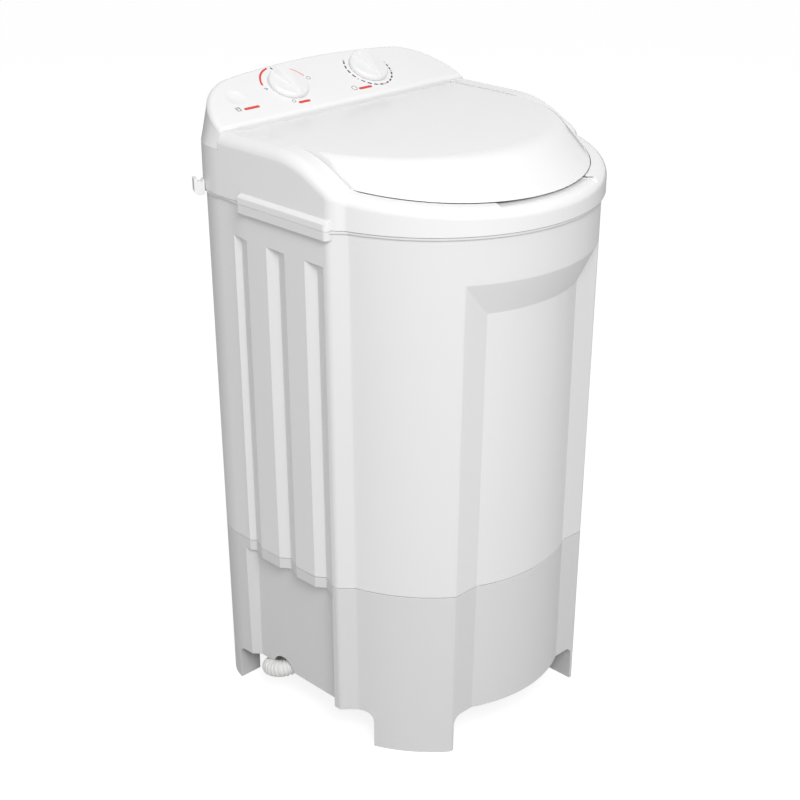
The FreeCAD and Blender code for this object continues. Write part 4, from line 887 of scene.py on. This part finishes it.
class WASHER_OT_prints(bpy.types.Operator):
    """Printed arcs, dashes, pills and pictograms of the panel"""

    bl_idname = "washer.prints"
    bl_label = "Panel prints"

    def execute(self, context):
        """Print each colour in turn."""
        own, shades = sizes(), colours()
        selector, timer = panel_frame("selector_turn"), panel_frame("timer_turn")
        red, rose = ink("red", shades.red), ink("rose", shades.rose)
        navy, dark = ink("navy", shades.navy), ink("grey", shades.grey)

        around = own.selector_ring
        thick = flat_ring("thick_arc", around, WARM_WIDTH, lambda angle: within(angle, *WARM_ARC))
        print_on(thick, selector, red, "selector_warm_arc")
        thin = flat_ring("thin_arc", around, PALE_WIDTH, lambda angle: within(angle, *PALE_ARC))
        print_on(thin, selector, rose, "selector_pale_arc")
        dashes = flat_ring("dashes", own.timer_ring, DASH_WIDTH, timer_dash, DASH_STEPS)
        print_on(dashes, timer, navy, "timer_dashes")
        marks = flat_ring("marks", own.timer_ring + MARK_OUT, MARK_WIDTH, timer_mark, DASH_STEPS)
        print_on(marks, timer, rose, "timer_marks")

        for number, (left, right, up) in enumerate(PILLS):
            ends = left * MM - DIAL_ACROSS, right * MM - DIAL_ACROSS
            pill = flat_pill("pill", *ends, up * MM - DIAL_UP, PILL_HEIGHT)
            print_on(pill, selector, red, f"legend_pill_{number + 1}")
        for name, ((x, up), rings, bars) in PICTOGRAMS.items():
            pieces = [small_ring(x + along, up + rise, *size) for along, rise, *size in rings]
            pieces += [small_bar(x + along, up + rise, *size) for along, rise, *size in bars]
            print_on(join(name, pieces), selector, dark, f"pictogram_{name}")
        return {"FINISHED"}


# Studio lamps: place and target in metres, side in metres, power in watts
LAMPS = {
    "key": ((-1.65, -2.3, 2.7), (0, 0, 0.5), 1.4, 77),
    "left": ((-2.5, 0.3, 2.6), (0, 0, 0.6), 1.6, 5),
    "panel": ((0.2, -0.9, 3.2), (0, 0.15, 0.9), 1.2, 10),
}

# Floor and surroundings: what lights the machine, and what the camera sees
FLOOR_SIZE = 40
FLOOR_ROUGHNESS = 0.9
FLOOR_LIGHT, FLOOR_SEEN, FLOOR_GLOW = 0.7, 0.3, 0.86
WORLD_LIGHT, WORLD_SEEN = 0.4, 1.0


class WASHER_OT_studio(bpy.types.Operator):
    """Pale floor, soft lights and the photograph's camera"""

    bl_idname = "washer.studio"
    bl_label = "Studio"

    def execute(self, context):
        """Lay the floor, hang the lights and set the camera."""
        scene = context.scene
        scene.view_settings.view_transform = "Standard"
        self.floor()
        self.world(scene)
        for name, settings in LAMPS.items():
            self.lamp(name, *settings)
        camera = bpy.data.objects.new("photo_camera", bpy.data.cameras.new("photo_camera"))
        scene.collection.objects.link(camera)
        camera.location = CAMERA_PLACE
        camera.rotation_euler = (
            math.radians(90 - CAMERA_ELEVATION), 0, -math.radians(CAMERA_AZIMUTH)
        )
        camera.data.lens = CAMERA_LENS
        camera.data.sensor_width = CAMERA_SENSOR
        scene.camera = camera
        return {"FINISHED"}

    def floor(self):
        """Wide pale floor that shows white to the camera and keeps a faint shadow."""
        bpy.ops.object.select_all(action="DESELECT")
        bpy.ops.mesh.primitive_plane_add(size=FLOOR_SIZE)
        floor = bpy.context.object
        floor.name = "studio_floor"
        material = bpy.data.materials.new("studio_floor")
        material.use_nodes = True
        tree = material.node_tree
        shader = tree.nodes["Principled BSDF"]
        shader.inputs["Roughness"].default_value = FLOOR_ROUGHNESS
        shader.inputs["Specular IOR Level"].default_value = 0.0
        shader.inputs["Emission Color"].default_value = grey(1)
        path = tree.nodes.new("ShaderNodeLightPath")
        paint = add_node(tree, "ShaderNodeMix", data_type="RGBA")
        paint.inputs[MIX_FIRST].default_value = grey(FLOOR_LIGHT)
        paint.inputs[MIX_SECOND].default_value = grey(FLOOR_SEEN)
        glow = add_node(tree, "ShaderNodeMath", operation="MULTIPLY")
        glow.inputs[1].default_value = FLOOR_GLOW
        tree.links.new(path.outputs["Is Camera Ray"], paint.inputs["Factor"])
        tree.links.new(path.outputs["Is Camera Ray"], glow.inputs[0])
        tree.links.new(paint.outputs[MIX_RESULT], shader.inputs["Base Color"])
        tree.links.new(glow.outputs["Value"], shader.inputs["Emission Strength"])
        dress(floor, material)

    def world(self, scene):
        """Even surroundings: full white to the camera and in gloss, softer light on the machine."""
        world = bpy.data.worlds.new("studio_white")
        scene.world = world
        world.use_nodes = True
        tree = world.node_tree
        background = tree.nodes["Background"]
        background.inputs["Color"].default_value = grey(1)
        path = tree.nodes.new("ShaderNodeLightPath")
        seen = add_node(tree, "ShaderNodeMath", operation="MAXIMUM")
        level = add_node(
            tree, "ShaderNodeMapRange", **{"To Min": WORLD_LIGHT, "To Max": WORLD_SEEN}
        )
        tree.links.new(path.outputs["Is Camera Ray"], seen.inputs[0])
        tree.links.new(path.outputs["Is Glossy Ray"], seen.inputs[1])
        tree.links.new(seen.outputs["Value"], level.inputs["Value"])
        tree.links.new(level.outputs["Result"], background.inputs["Strength"])

    def lamp(self, name, place, target, size, power):
        """Square soft lamp that points at a target."""
        light = bpy.data.lights.new(f"studio_{name}", "AREA")
        light.size = size
        light.energy = power
        lamp = bpy.data.objects.new(f"studio_{name}", light)
        lamp.location = place
        lamp.rotation_euler = (Vector(target) - Vector(place)).to_track_quat("-Z", "Y").to_euler()
        bpy.context.scene.collection.objects.link(lamp)


class WASHER_PT_sidebar(bpy.types.Panel):
    """Sidebar list of the machine's pieces"""

    bl_idname = "WASHER_PT_sidebar"
    bl_label = "Washing machine"
    bl_space_type = "VIEW_3D"
    bl_region_type = "UI"
    bl_category = "Washer"

    def draw(self, context):
        """List the operators and the sizes and colours."""
        for operator in OPERATORS:
            self.layout.operator(operator.bl_idname)
        for group in (context.scene.washer_sizes, context.scene.washer_colours):
            for name in group.__annotations__:
                self.layout.prop(group, name)


OPERATORS = [
    WASHER_OT_mechanism, WASHER_OT_shells, WASHER_OT_prints, WASHER_OT_hose, WASHER_OT_studio
]
CLASSES = [WasherColours, WasherSizes, *OPERATORS, WASHER_PT_sidebar]


def register():
    """Register the classes and the scene's property groups."""
    for cls in CLASSES:
        bpy.utils.register_class(cls)
    bpy.types.Scene.washer_sizes = bpy.props.PointerProperty(type=WasherSizes)
    bpy.types.Scene.washer_colours = bpy.props.PointerProperty(type=WasherColours)


def unregister():
    """Remove what register added."""
    del bpy.types.Scene.washer_colours
    del bpy.types.Scene.washer_sizes
    for cls in reversed(CLASSES):
        bpy.utils.unregister_class(cls)


def main():
    """Build every piece in order."""
    register()
    bpy.ops.washer.mechanism()
    bpy.ops.washer.shells()
    bpy.ops.washer.prints()
    bpy.ops.washer.hose()
    bpy.ops.washer.studio()


if __name__ == "__main__":
    main()
